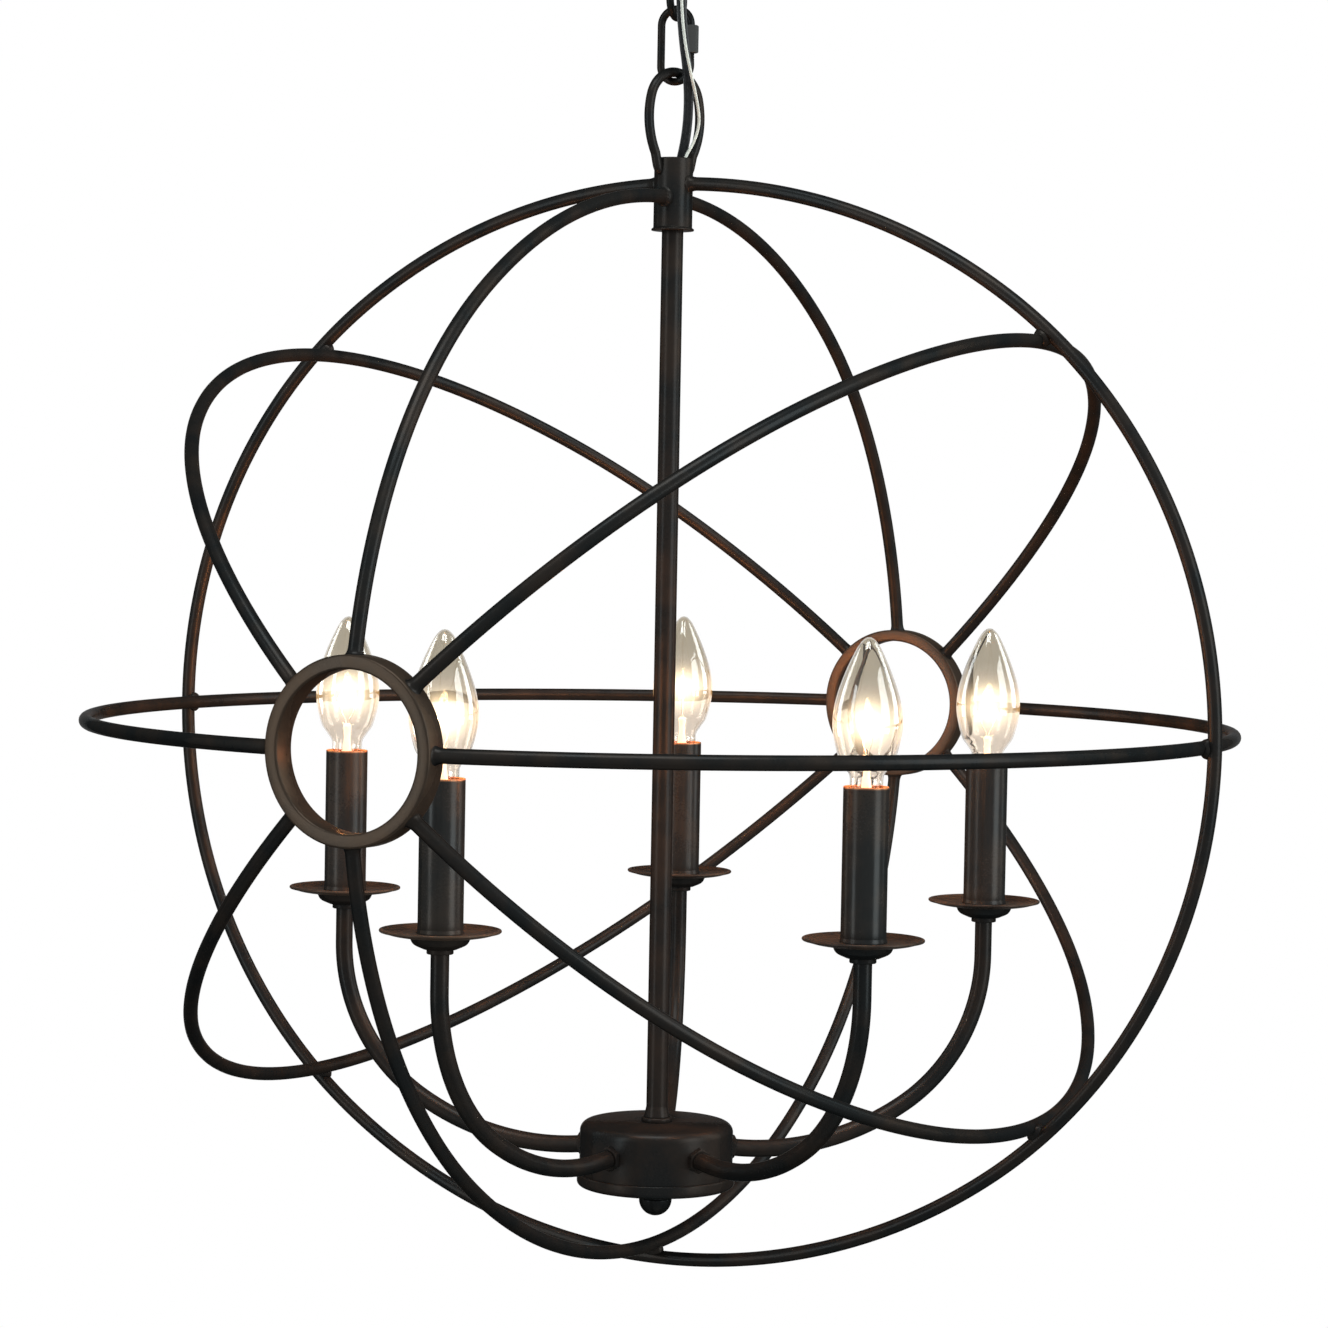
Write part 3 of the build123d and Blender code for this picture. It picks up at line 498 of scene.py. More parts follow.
# Cords: the route's points lie across and through the quick link's plane, with heights over the cage's
# middle, in millimetres. A smooth spline takes them as its control points.
cord = {"radius": 2.5 * mm, "flatten": 0.60, "groove": 0.30, "grooveEdge": 10, "twist": -27.0, "sides": 28,
        "stiffness": "medium",
        "route": [(0, 0, 440), (0, 0.4, 414), (4.4, -1.6, 402.5), (5.9, -7.2, 389), (6.0, -9.4, 371),
                  (7.6, -8.8, 350.5), (9.2, -6.4, 335), (8.7, -2.4, 320), (6.6, 1.1, 305), (3.9, 1.3, 291),
                  (0, 0, 276), (0, 0, 261.5)]}
groundWire = {"radius": 0.75 * mm, "twist": 0.0, "sides": 14, "stiffness": "limp",
              "route": [(1.3, -3.4, 440), (1.4, -3.5, 408), (5.2, -7.2, 399), (7.4, -11.5, 387),
                        (7.8, -13.2, 370), (9.5, -12.4, 350), (11.9, -9.4, 334), (12.9, -2.6, 321),
                        (13.4, 1.8, 309), (10.6, 1.5, 299), (6.3, -2.9, 289), (5.4, -4.0, 276),
                        (5.3, -4.0, 261.5)]}
spline = {"fineness": 24, "order": 3}
# A cord passes three hinges, so it is made of three lengths, each ending where the cord drops below its
# hinge's ends.
hinges = [
    {"bodies": ("canopy_assembly", "hanging_chain_link"), "top": -0.042, "foot": -0.069, "ends": -0.071},
    {"bodies": ("hanging_chain_link", "hanging_quick_link"), "top": -0.074, "foot": -0.099, "ends": -0.1025},
    {"bodies": ("hanging_quick_link", "orb"), "top": -0.1055, "foot": -0.136, "ends": -1.0},
]


# The spline through a route, turned with the quick link and read back as points.
def routeLine(name, route):
    a = np.radians(linkTurn)
    points = np.array(route, float) * mm
    x = points[:, 0] * np.cos(a) - points[:, 1] * np.sin(a)
    y = points[:, 0] * np.sin(a) + points[:, 1] * np.cos(a)
    curve = bpy.data.curves.new(name, "CURVE")
    curve.dimensions = "3D"
    curve.resolution_u = spline["fineness"]
    run = curve.splines.new("NURBS")
    run.points.add(len(route) - 1)
    place = np.stack([x, y, points[:, 2] + orbMiddle, np.ones(len(route))], axis=-1)
    run.points.foreach_set("co", place.ravel())
    run.order_u = spline["order"]
    run.use_endpoint_u = True
    line = bpy.data.objects.new(name, curve)
    scene.collection.objects.link(line)
    mesh = bpy.data.meshes.new_from_object(line)
    path = np.empty(len(mesh.vertices) * 3)
    mesh.vertices.foreach_get("co", path)
    bpy.data.meshes.remove(mesh)
    bpy.data.objects.remove(line)
    return path.reshape(-1, 3)


# A section (radius as a function of its turn) carried along a free line. Its own directions are
# the frame's X laid square to the line, turned about the line by the twist.
def sweptCord(path, sectionRadius, sides, twist=0.0):
    run = unit(np.gradient(path, axis=0))
    first = unit(np.array([1.0, 0.0, 0.0]) - run * run[:, :1])
    second = np.cross(run, first)
    angle = circle(sides)[None, :]
    lie = (angle + twist)[..., None]
    grid = path[:, None] + sectionRadius(angle)[..., None] * (
        np.cos(lie) * first[:, None] + np.sin(lie) * second[:, None])
    return closeEnds(grid, path), True, False


# Flat twin section: radius falls from the full one at both edges to the flat side, with a groove between.
def twinSection(c):
    def radius(angle):
        flat = np.abs(np.sin(angle))
        side = 1 / np.sqrt(np.cos(angle) ** 2 + (flat / c["flatten"]) ** 2)
        return c["radius"] * side * (1 - c["groove"] * flat ** c["grooveEdge"])
    return radius


def roundSection(c):
    return lambda angle: c["radius"] + 0 * angle


def hangCord(name, c, section, node, material):
    path = routeLine(name + "Line", c["route"])
    start = 0
    for number, hinge in enumerate(hinges, 1):
        below = np.nonzero(path[:, 2] < hinge["ends"])[0]
        end = below[0] if len(below) else len(path) - 1
        part = path[start:end + 1]
        shape = sweptCord(part, section(c), c["sides"], np.radians(c["twist"]))
        x, y = part[:, 0].mean(), part[:, 1].mean()
        piece = addPiece(f"{name}_{number}", [shape], node, material, None, sharp=60, bends=(
            *hinge["bodies"], (x, y, hinge["top"]), (x, y, hinge["foot"])))
        start = end


hangCord("supplyCord", cord, twinSection, "supply_cord", cordSleeve)
hangCord("groundWire", groundWire, roundSection, "ground_wire", groundSleeve)
print("cords hung")


# Cage. An oval is four arcs that touch: end arcs over its long axis, flat arcs over its short one.
cage = {"portholeReach": 302.5 * mm, "inset": 7.1 * mm, "rightRise": 44.0, "leftRise": 42.6,
        "spacing": 4.0 * mm, "sides": 22, "weldLeg": 4.2 * mm, "weldGrowth": 1.5 * mm, "weldReach": 3.2,
        "weldSteps": 9, "intoRing": 3.0 * mm, "intoHub": 1.4 * mm, "hiddenShare": 0.8}
portholeRadius = half("porthole_ring_front", 2)


def makeOval(longHalf, shortHalf):
    endRadius = (shortHalf + shortHalf ** 2 / longHalf) / 2
    flatRadius = longHalf ** 2 / shortHalf
    both = longHalf + shortHalf
    change = np.degrees(np.arctan2(2 * longHalf * both, shortHalf * (longHalf + both)))
    return {"end": longHalf - endRadius, "endRadius": endRadius, "flat": flatRadius - shortHalf,
            "flatRadius": flatRadius, "change": change, "shortHalf": shortHalf}


# Distance from the middle to the oval along a ray in its first quarter.
def ovalReach(oval, degrees):
    x, y = np.cos(np.radians(degrees)), np.sin(np.radians(degrees))
    along = oval["end"] * x
    reach = along + np.sqrt(along ** 2 - oval["end"] ** 2 + oval["endRadius"] ** 2)
    if np.degrees(np.arctan2(reach * y, reach * x - oval["end"])) <= oval["change"]:
        return reach
    along = -oval["flat"] * y
    return along + np.sqrt(along ** 2 - oval["flat"] ** 2 + oval["flatRadius"] ** 2)


# An oval's arcs, on its right (1) or left (-1) end and over (1) or under (-1) its middle.
def endArc(oval, side, first, last):
    return side * oval["end"], 0, oval["endRadius"], first, last


def flatArc(oval, side, first, last):
    return 0, -side * oval["flat"], oval["flatRadius"], first, last


mainOval = makeOval(half("main_ring") - rodRadius, orbMiddle - low("main_ring") - rodRadius)
rodAngles = {"equator_rod_right": 0.0, "equator_rod_left": 180.0,
             "diagonal_rod_upper_right": cage["rightRise"],
             "diagonal_rod_lower_left": 180 + cage["rightRise"],
             "diagonal_rod_upper_left": 180 - cage["leftRise"],
             "diagonal_rod_lower_right": -cage["leftRise"], "meridian_rod_lower": -90.0}


def innerOval(angle):
    folded = abs(np.degrees(np.arcsin(np.sin(np.radians(angle)))))
    return makeOval(cage["portholeReach"], ovalReach(mainOval, folded) - cage["inset"])


# The angle at which an oval's upper arc goes into the hub.
def hubAngle(oval):
    return 90 - np.degrees(np.arcsin((hubRadius - cage["intoHub"]) / oval["flatRadius"]))


# The rod's points lie close together over its welds and further apart between them.
def rodLine(arcs):
    line = arcLine(arcs, cage["spacing"] / 4)
    along = alongLine(line)
    near = np.arange(0, cage["weldReach"] * cage["weldLeg"], cage["weldLeg"] / cage["weldSteps"])
    between = np.linspace(near[-1], along[-1] - near[-1], int(along[-1] / cage["spacing"]))[1:-1]
    distances = np.concatenate([near, between, along[-1] - near[::-1]])
    return np.stack([np.interp(distances, along, line[:, k]) for k in (0, 1)], axis=-1)


# A rod flares into its welds: outside the hidden end, its radius grows as a quarter circle of the leg.
def weldedRod(line, plane, into):
    along = alongLine(line)
    fromEnd = np.minimum(along, along[-1] - along) - into * cage["hiddenShare"]
    inside = np.clip(1 - np.maximum(fromEnd, 0) / cage["weldLeg"], 0, 1)
    radius = rodRadius + cage["weldGrowth"] * (1 - np.sqrt(1 - inside ** 2))
    return bentRod(line, plane, radius, cage["sides"])


# From porthole to porthole, or with a side given, from the back (1) or front (-1) one to the hub.
def innerRodShape(angle, side=0):
    oval = innerOval(angle)
    change = oval["change"]
    first = np.degrees(np.arcsin((portholeRadius - cage["intoRing"]) / oval["endRadius"]))
    arcs = [endArc(oval, 1, first, change)]
    if side:
        arcs.append(flatArc(oval, 1, change, hubAngle(oval)))
    else:
        arcs += [flatArc(oval, 1, change, 180 - change), endArc(oval, -1, 180 - change, 180 - first)]
    return weldedRod(rodLine(arcs) * [side or 1, 1], cagePlane(angle), cage["intoRing"])


def mainRingShape():
    change, top = mainOval["change"], hubAngle(mainOval)
    line = rodLine([flatArc(mainOval, 1, 180 - top, 180 - change),
                    endArc(mainOval, -1, 180 - change, 180 + change),
                    flatArc(mainOval, -1, 180 + change, 360 - change),
                    endArc(mainOval, 1, -change, change), flatArc(mainOval, 1, change, top)])
    return weldedRod(line, uprightPlane(0, orbMiddle), cage["intoHub"])


for rodName, rodAngle in rodAngles.items():
    addPiece(rodName + "_bar", [innerRodShape(rodAngle)], rodName)
for rodName, side in (("meridian_rod_back", 1), ("meridian_rod_front", -1)):
    addPiece(rodName + "_bar", [innerRodShape(90.0, side)], rodName)
addPiece("mainRingBar", [mainRingShape()], "main_ring")

# Porthole rings: flat bar rolled into a short band, edges eased.
porthole = {"edge": 1.1 * mm, "wall": 6.5 * mm, "sides": 128}


def portholeShape(node):
    deep, outer, edge = half(node, 1), portholeRadius, porthole["edge"]
    inner = outer - porthole["wall"]
    return onAxis(spun([(inner, -deep, edge), (outer, -deep, edge), (outer, deep, edge), (inner, deep, edge)],
                       porthole["sides"]), middle(node), (0, 1, 0))


for name, node in (("portholeBandFront", "porthole_ring_front"), ("portholeBandBack", "porthole_ring_back")):
    addPiece(name, [portholeShape(node)], node, portholeLitBronze)

# Welds where the inner rods cross the main ring: flattened lumps between the two rods.
weld = {"along": 5.2 * mm, "across": 4.0 * mm, "deep": 3.9 * mm, "sides": 24, "rows": 13, "wave": 0.045}


# A lumpy ellipsoid: unit sphere points times three half lengths, swelled by low waves over the sphere.
def weldShape(centre, axes, seed):
    polar = np.linspace(0, np.pi, weld["rows"])[::-1][:, None]
    angle = circle(weld["sides"])[None, :]
    x, y, z = np.sin(polar) * np.cos(angle), np.sin(polar) * np.sin(angle), np.cos(polar) + 0 * angle
    waves = np.sin(5 * x + seed) * np.cos(4 * y + 2 * seed) + 0.6 * np.sin(7 * z + 3 * seed)
    local = np.stack([x * weld["along"], y * weld["across"], z * weld["deep"]], axis=-1)
    return local * (1 + weld["wave"] * waves)[..., None] @ np.asarray(axes) + centre, True, False


def crossingWelds():
    shapes = []
    for seed, angle in enumerate(rodAngles.values()):
        origin, across, outward = (np.asarray(v, float) for v in cagePlane(angle))
        centre = origin + outward * (innerOval(angle)["shortHalf"] + rodRadius)
        shapes.append(weldShape(centre, [np.cross(outward, across), across, outward], seed))
    return shapes


addPiece("crossingWelds", crossingWelds(), "weld_beads")
print("cage built")


# Hub, its loop, the quick link with its nut, the chain link and the collar loop.
hub = {"wall": 1.6 * mm, "rim": 0.6 * mm, "lip": 1.0 * mm, "lipHeight": 0.8 * mm, "floor": 4.0 * mm,
       "bore": 5.65 * mm, "footRound": 0.3 * mm, "lipRound": 0.35 * mm, "stepRound": 0.4 * mm, "sides": 96}
loop = {"wire": 5.0 * mm, "halfWidth": 17.7 * mm, "widest": 21.0 * mm, "sideRadius": 40.0 * mm,
        "turn": 70.0, "legStart": 12.9 * mm, "legEnd": 8.5 * mm, "kneeLift": 0.45, "kneeDrop": 0.55,
        "taper": 5.0 * mm, "tip": 0.9 * mm, "tipSink": 0.5, "spacing": 0.5 * mm, "legSteps": 12}
quickLink = {"wire": 4.0 * mm, "nutGrip": 2.0 * mm, "gap": 4.0 * mm, "threadLength": 13.0 * mm,
             "threadPitch": 0.8 * mm, "threadDepth": 0.22 * mm, "tipLength": 0.5 * mm, "tipTaper": 0.4 * mm}
linkNut = {"flats": 7.0 * mm, "bore": 2.06 * mm, "chamfer": 0.9 * mm, "mouth": 0.35 * mm,
           "coneShare": 0.985, "coneSlope": 1.6, "sides": 144, "steps": 7}
chain = {"wire": 4.0 * mm, "weldSwell": 0.35 * mm, "weldLength": 1.6 * mm}
collar = {"wire": 4.5 * mm, "edge": 1.4 * mm, "boreEdge": 0.6 * mm, "bore": 5.0 * mm,
          "ringReach": 11.25 * mm, "bodyRise": 7.0 * mm, "sides": 96, "ringSteps": 120}
linkSteps = {"bend": 49, "side": 14, "left": 24}


def hubShape():
    bottom, top, r, bore = low("top_hub"), high("top_hub"), hubRadius, hub["bore"]
    lip, thick, inner, floor = r + hub["lip"], hub["lipHeight"], r - hub["wall"], bottom + hub["floor"]
    return spun([(bore, bottom), (lip, bottom, hub["footRound"]), (lip, bottom + thick, hub["lipRound"]),
                 (r, bottom + 2 * thick, hub["stepRound"]), (r, top, hub["rim"]), (inner, top, hub["rim"]),
                 (inner, floor, hub["stepRound"]), (bore, floor)], hub["sides"])


# Bent wire whose legs lie on the hub's sides and thin out there, as in a filled weld: over the taper
# the wire's radius grows from the tip's to its own as a quarter circle.
def loopShape():
    wire, tip, side = loop["wire"] / 2, loop["tip"], loop["sideRadius"]
    rise = high("hanging_loop") - wire - high("top_hub")
    sideX, gap = loop["halfWidth"] - side, rise - loop["widest"]
    topRadius = (side ** 2 - sideX ** 2 - gap ** 2) / (2 * (side - gap))
    change = np.degrees(np.arctan2(gap - topRadius, -sideX))
    lowEnd = -np.degrees(np.arccos((loop["legStart"] - sideX) / side))
    line = arcLine([(sideX, loop["widest"], side, lowEnd, change),
                    (0, rise - topRadius, topRadius, change, 180 - change),
                    (-sideX, loop["widest"], side, 180 - change, 180 - lowEnd)], loop["spacing"])
    leg = smoothLine([(hubRadius - loop["tipSink"] * tip, -loop["legEnd"]),
                      (hubRadius + loop["kneeLift"] * wire, -loop["kneeDrop"] * loop["legEnd"]), line[0]],
                     loop["legSteps"])
    line = np.concatenate([leg[:-1], line, (leg[:-1] * [-1, 1])[::-1]])
    along = alongLine(line)
    near = np.clip(np.minimum(along, along[-1] - along) / loop["taper"], 0, 1)
    radius = tip + (wire - tip) * np.sqrt(1 - (1 - near) ** 2)
    return bentRod(line, uprightPlane(loop["turn"], high("top_hub")), radius)


def uprightRun(x, heights):
    return np.stack([np.full_like(heights, x), heights], axis=-1)


# Two straight sides and two half circles, in the link's own plane. An open link starts at the gap's
# top on its right side and ends at the gap's foot, with points fine enough there for its thread.
def linkLine(halfWidth, straight, closed, gapTop=0.0, gap=0.0):
    bend = np.radians(np.linspace(0, 180, linkSteps["bend"]))
    topArc = np.stack([halfWidth * np.cos(bend), straight + halfWidth * np.sin(bend)], axis=-1)
    if closed:
        right = uprightRun(halfWidth, np.linspace(-straight, straight, linkSteps["side"])[1:-1])
        return np.concatenate([right, topArc, -right, -topArc])
    fine = quickLink["threadPitch"] / 6
    left = np.linspace(straight, -straight, linkSteps["left"])[1:-1]
    return np.concatenate([
        uprightRun(halfWidth, np.arange(gapTop, straight, fine)), topArc, uprightRun(-halfWidth, left),
        -topArc, uprightRun(halfWidth, np.arange(-straight, gapTop - gap, fine))[1:]])


# A link's half width, half straight length and middle height, read from its node.
def linkSize(node, axis, wire):
    halfWidth = (half(node, axis) - wire) / np.cos(np.radians(linkTurn))
    return halfWidth, half(node, 2) - wire - halfWidth, (high(node) + low(node)) / 2


# The wire's free lower end is threaded: rings of a shallow wave, one per pitch.
def quickLinkShape():
    wire, pitch = quickLink["wire"] / 2, quickLink["threadPitch"]
    halfWidth, straight, level = linkSize("quick_link", 0, wire)
    gapTop = high("quick_link_nut") - level - quickLink["nutGrip"]
    line = linkLine(halfWidth, straight, False, gapTop, quickLink["gap"])
    fromEnd = alongLine(line)[-1] - alongLine(line)
    onThread = np.clip((quickLink["threadLength"] - fromEnd) / (2 * pitch), 0, 1)
    wave = 0.5 - 0.5 * np.cos(2 * np.pi * fromEnd / pitch)
    tip = np.clip(1 - fromEnd / quickLink["tipLength"], 0, 1) * quickLink["tipTaper"]
    radius = wire - quickLink["threadDepth"] * wave * onThread - tip
    return bentRod(line, uprightPlane(linkTurn, level), radius)


# A hexagon's reach: half its flats over the cosine of the turn from the nearest flat's middle.
def hexagonReach(flat, angle):
    return flat / np.cos((angle + np.pi / 6) % (np.pi / 3) - np.pi / 6)


# Hexagon whose corners are turned off at both ends: the radius is the lesser of the hexagon's reach at
# that turn and a cone that widens from the end.
def nutShape():
    bottom, top, flat = low("quick_link_nut"), high("quick_link_nut"), linkNut["flats"] / 2
    angle, mouth = circle(linkNut["sides"]), linkNut["mouth"]
    rise = np.linspace(0, linkNut["chamfer"], linkNut["steps"])
    height = np.concatenate([bottom + rise, top - rise[::-1]])
    inside = np.minimum(height - bottom, top - height)[:, None]
    cone = flat * linkNut["coneShare"] + inside * linkNut["coneSlope"]
    outer = np.minimum(hexagonReach(flat, angle)[None, :], cone)
    bore = np.full((1, len(angle)), linkNut["bore"])
    radius = np.concatenate([bore, bore + mouth, outer, bore + mouth, bore])
    height = np.concatenate([[bottom + mouth, bottom], height, [top, top - mouth]])[:, None]
    return aboutAxis(radius, angle + np.radians(linkTurn), height, middle("quick_link_nut")), True, True


# A closed link with a slight swell where its wire was welded.
def chainShape():
    wire = chain["wire"] / 2
    halfWidth, straight, level = linkSize("chain_link", 1, wire)
    line = linkLine(halfWidth, straight, True)
    swell = chain["weldSwell"] * np.exp(-((line[:, 1] / chain["weldLength"]) ** 2)) * (line[:, 0] > 0)
    return bentRod(line, uprightPlane(linkTurn + 90, level), wire + swell, closed=True)


def collarShapes():
    wire, bore, reach, edge = collar["wire"] / 2, collar["bore"], collar["ringReach"], collar["edge"]
    outer, top = half("collar_loop", 1), high("collar_loop")
    ringMiddle = low("collar_loop") + wire + reach
    foot = ringMiddle + collar["bodyRise"]
    body = spun([(bore, foot, collar["boreEdge"]), (outer, foot, edge), (outer, top, edge),
                 (bore, top, collar["boreEdge"])], collar["sides"])
    bend = circle(collar["ringSteps"])
    line = reach * np.stack([np.cos(bend), np.sin(bend)], axis=-1)
    return [body, bentRod(line, uprightPlane(linkTurn, ringMiddle), wire, closed=True)]


addPiece("hub", [hubShape()], "top_hub")
addPiece("hangingLoop", [loopShape()], "hanging_loop")
addPiece("quickLink", [quickLinkShape()], "quick_link", body="hanging_quick_link")
addPiece("quickLinkNut", [nutShape()], "quick_link_nut", nutBronze, "link_nut", sharp=25)
addPiece("chainLink", [chainShape()], "chain_link", body="hanging_chain_link")
addPiece("collarLoop", collarShapes(), "collar_loop", body="canopy_assembly")
print("hanging parts built")


# Canopy: a spun steel dish with a short straight lip, a bulging side and a flat middle.
canopy = {"lip": 3.0 * mm, "flat": 24.0 * mm, "wall": 1.2 * mm, "bore": 6.6 * mm, "bulgeOut": 0.7,
          "bulgeDown": 0.72, "sideSteps": 28, "sides": 128}


def canopyShape():
    bottom, top, radius = low("canopy"), high("canopy"), half("canopy")
    wall, bore, out = canopy["wall"], canopy["bore"], canopy["bulgeOut"]

    # The side is a curve through the lip, the bulge's point and the flat's edge.
    def skin(shrink):
        a = np.array([radius - shrink, top - canopy["lip"]])
        b = np.array([canopy["flat"] * (1 - out) + (radius - shrink) * out,
                      top - (top - bottom - shrink) * canopy["bulgeDown"]])
        c = np.array([canopy["flat"], bottom + shrink])
        t = np.linspace(0, 1, canopy["sideSteps"])[:, None]
        split = np.linalg.norm(b - a) / (np.linalg.norm(b - a) + np.linalg.norm(c - b))
        control = (b - (1 - split) ** 2 * a - split ** 2 * c) / (2 * split * (1 - split))
        return (1 - t) ** 2 * a + 2 * t * (1 - t) * control + t ** 2 * c

    outline = np.concatenate([[[bore, bottom]], skin(0.0)[::-1], [[radius, top], [radius - wall, top]],
                              skin(wall), [[bore, bottom + wall]]])
    return turn(outline, sides=canopy["sides"], closed=True)


addPiece("canopyDish", [canopyShape()], "canopy", body="canopy_assembly", sharp=40)

# Stem, drum and finial.
drum = {"topEdge": 5.0 * mm, "wall": 1.5 * mm, "bore": 4.6 * mm, "footEdge": 0.3 * mm, "trayEdge": 2.5 * mm,
        "rimEdge": 0.7 * mm, "lipEdge": 0.4 * mm, "trayGap": 0.15 * mm, "trayFloor": 1.5 * mm, "sides": 160,
        "cupSteps": 9, "traySteps": 7}
stem = {"edge": 0.3 * mm, "collarEdge": 0.9 * mm, "wall": 1.0 * mm, "footRise": 5.5 * mm,
        "footSwell": 1.3 * mm, "waistSwell": 0.5, "waistRise": 0.4, "waistRound": 1.5 * mm,
        "neckRound": 2.0 * mm, "sides": 56, "collarSides": 64}
finial = {"sides": 64, "steps": 20, "groove": 0.3 * mm, "edge": 0.5 * mm}
drumRadius = half("drum_cup")


def stemShape():
    foot, top, rise, edge = low("stem_tube"), high("stem_tube"), stem["footRise"], stem["edge"]
    r, swell = half("stem_tube"), stem["footSwell"]
    inner = r - stem["wall"]
    return spun([(inner, foot), (r + swell, foot, edge),
                 (r + swell * stem["waistSwell"], foot + rise * stem["waistRise"], stem["waistRound"]),
                 (r, foot + rise, stem["neckRound"]), (r, top, edge), (inner, top)], stem["sides"])


def stemCollarShape():
    r, bottom, top = half("stem_collar"), low("stem_collar"), high("stem_collar")
    return spun([(drum["bore"], bottom), (r, bottom, stem["edge"]), (r, top, stem["collarEdge"]),
                 (drum["bore"], top)], stem["collarSides"])


def cupShape():
    r, wall, bore, edge = drumRadius, drum["wall"], drum["bore"], drum["topEdge"]
    bottom, top, foot = low("drum_cup"), high("drum_cup"), drum["footEdge"]
    return spun([(r - wall, bottom, foot), (r, bottom, foot), (r, top, edge), (bore, top),
                 (bore, top - wall), (r - wall, top - wall, edge - wall)],
                drum["sides"], steps=drum["cupSteps"])


def trayShape():
    r, bottom, top, bore = half("drum_tray"), low("drum_tray"), high("drum_tray"), drum["bore"]
    inner, floor = drumRadius + drum["trayGap"], bottom + drum["trayFloor"]
    return spun([(bore, bottom), (r, bottom, drum["trayEdge"]), (r, top, drum["rimEdge"]),
                 (inner, top, drum["lipEdge"]), (inner, floor, drum["footEdge"]), (bore, floor)],
                drum["sides"], steps=drum["traySteps"])


# Half a ball under a short neck.
def finialShape():
    r, top, groove = half("ball_finial"), low("drum_tray"), finial["groove"]
    level = low("ball_finial") + r
    down = np.linspace(-np.pi / 2, 0, finial["steps"])
    ball = np.stack([r * np.cos(down), level + r * np.sin(down)], axis=-1)
    ball[0, 0] = 0.0
    neck = rounded([(r, level), (r, level + 2 * groove), (r - groove, level + 3 * groove),
                    (r, level + 4 * groove), (r, top, finial["edge"]), (0.0, top)])[1:]
    return turn(np.concatenate([ball, neck]), sides=finial["sides"])


for name, shape, node in (
        ("stem", stemShape(), "stem_tube"), ("stemCollar", stemCollarShape(), "stem_collar"),
        ("drumCup", cupShape(), "drum_cup"), ("drumTray", trayShape(), "drum_tray")):
    addPiece(name, [shape], node)
addPiece("ballFinial", [finialShape()], "ball_finial", sharp=50)
print("stem and drum built")

# Arms: straight through the drum's wall, a long bend, a tighter one, then upright under the candle.
arm = {"radius": 4.5 * mm, "exitDrop": 6.7, "exitBelowTop": 14.4 * mm, "lowerBend": 140.5 * mm,
       "bendChange": 32.2, "straight": 2.0 * mm, "sides": 28, "spacing": 3.0 * mm, "inside": 4.0 * mm,
       "topSteps": 8}
armNut = {"flats": 11.4 * mm, "chamfer": 0.7 * mm, "sink": 1.5 * mm, "coneShare": 0.97, "coneSlope": 1.4,
          "sides": 120, "steps": 6}
armCount = sum(name.startswith("arm_") and name[4:].isdigit() for name in nodes)
candles = [middle(f"candle_sleeve_{number}") for number in range(1, armCount + 1)]
candleCircle = np.mean([np.hypot(place.x, place.y) for place in candles])
armAngles = [np.degrees(np.arctan2(place.y, place.x)) for place in candles]
armExit = high("drum_cup") - arm["exitBelowTop"]


# The upper bend's radius is what is left of the way out to the candle, so that it ends upright there.
def armShape(angle):
    drop, change, bend = np.radians(arm["exitDrop"]), np.radians(arm["bendChange"]), arm["lowerBend"]
    start, inner = ((drumRadius + way * np.cos(drop), armExit - way * np.sin(drop))
                    for way in (arm["straight"], -arm["inside"]))
    meeting = start[0] + bend * (np.sin(change) + np.sin(drop))
    upper = (candleCircle - meeting) / (1 - np.sin(change))
    level = start[1] + bend * (np.cos(drop) - np.cos(change)) + upper * np.cos(change)
    bends = arcLine([(start[0] + bend * np.sin(drop), start[1] + bend * np.cos(drop), bend,
                      -90 - arm["exitDrop"], -90 + arm["bendChange"]),
                     (candleCircle - upper, level, upper, -90 + arm["bendChange"], 0)], arm["spacing"])
    upright = uprightRun(candleCircle, np.linspace(level, high("arm_1"), arm["topSteps"])[1:])
    line = np.concatenate([[inner], bends, upright])
    return bentRod(line, uprightPlane(angle), arm["radius"], arm["sides"])


# Thin hexagon nut against the drum: the hexagon's reach, cut by a cone at its outer face.
def armNutShape(angle):
    drop, a, face = np.radians(arm["exitDrop"]), np.radians(angle), arm["straight"]
    flat, lie = armNut["flats"] / 2, circle(armNut["sides"])
    rise = face - np.linspace(armNut["chamfer"], 0, armNut["steps"])
    height = np.concatenate([[-armNut["sink"]] * 2, rise, [face]])[:, None]
    cone = flat * armNut["coneShare"] + (face - height) * armNut["coneSlope"]
    radius = np.minimum(hexagonReach(flat, lie)[None, :], cone)
    radius[0] = radius[-1] = arm["radius"]
    wall = (drumRadius * np.cos(a), drumRadius * np.sin(a), armExit)
    way = (np.cos(drop) * np.cos(a), np.cos(drop) * np.sin(a), -np.sin(drop))
    return onAxis((aboutAxis(radius, lie, height), True, True), wall, way)


for number, angle in enumerate(armAngles, 1):
    addPiece(f"armTube_{number}", [armShape(angle)], f"arm_{number}")
addPiece("armNuts", [armNutShape(angle) for angle in armAngles], "arm_collars", sharp=25)
print("arms built")

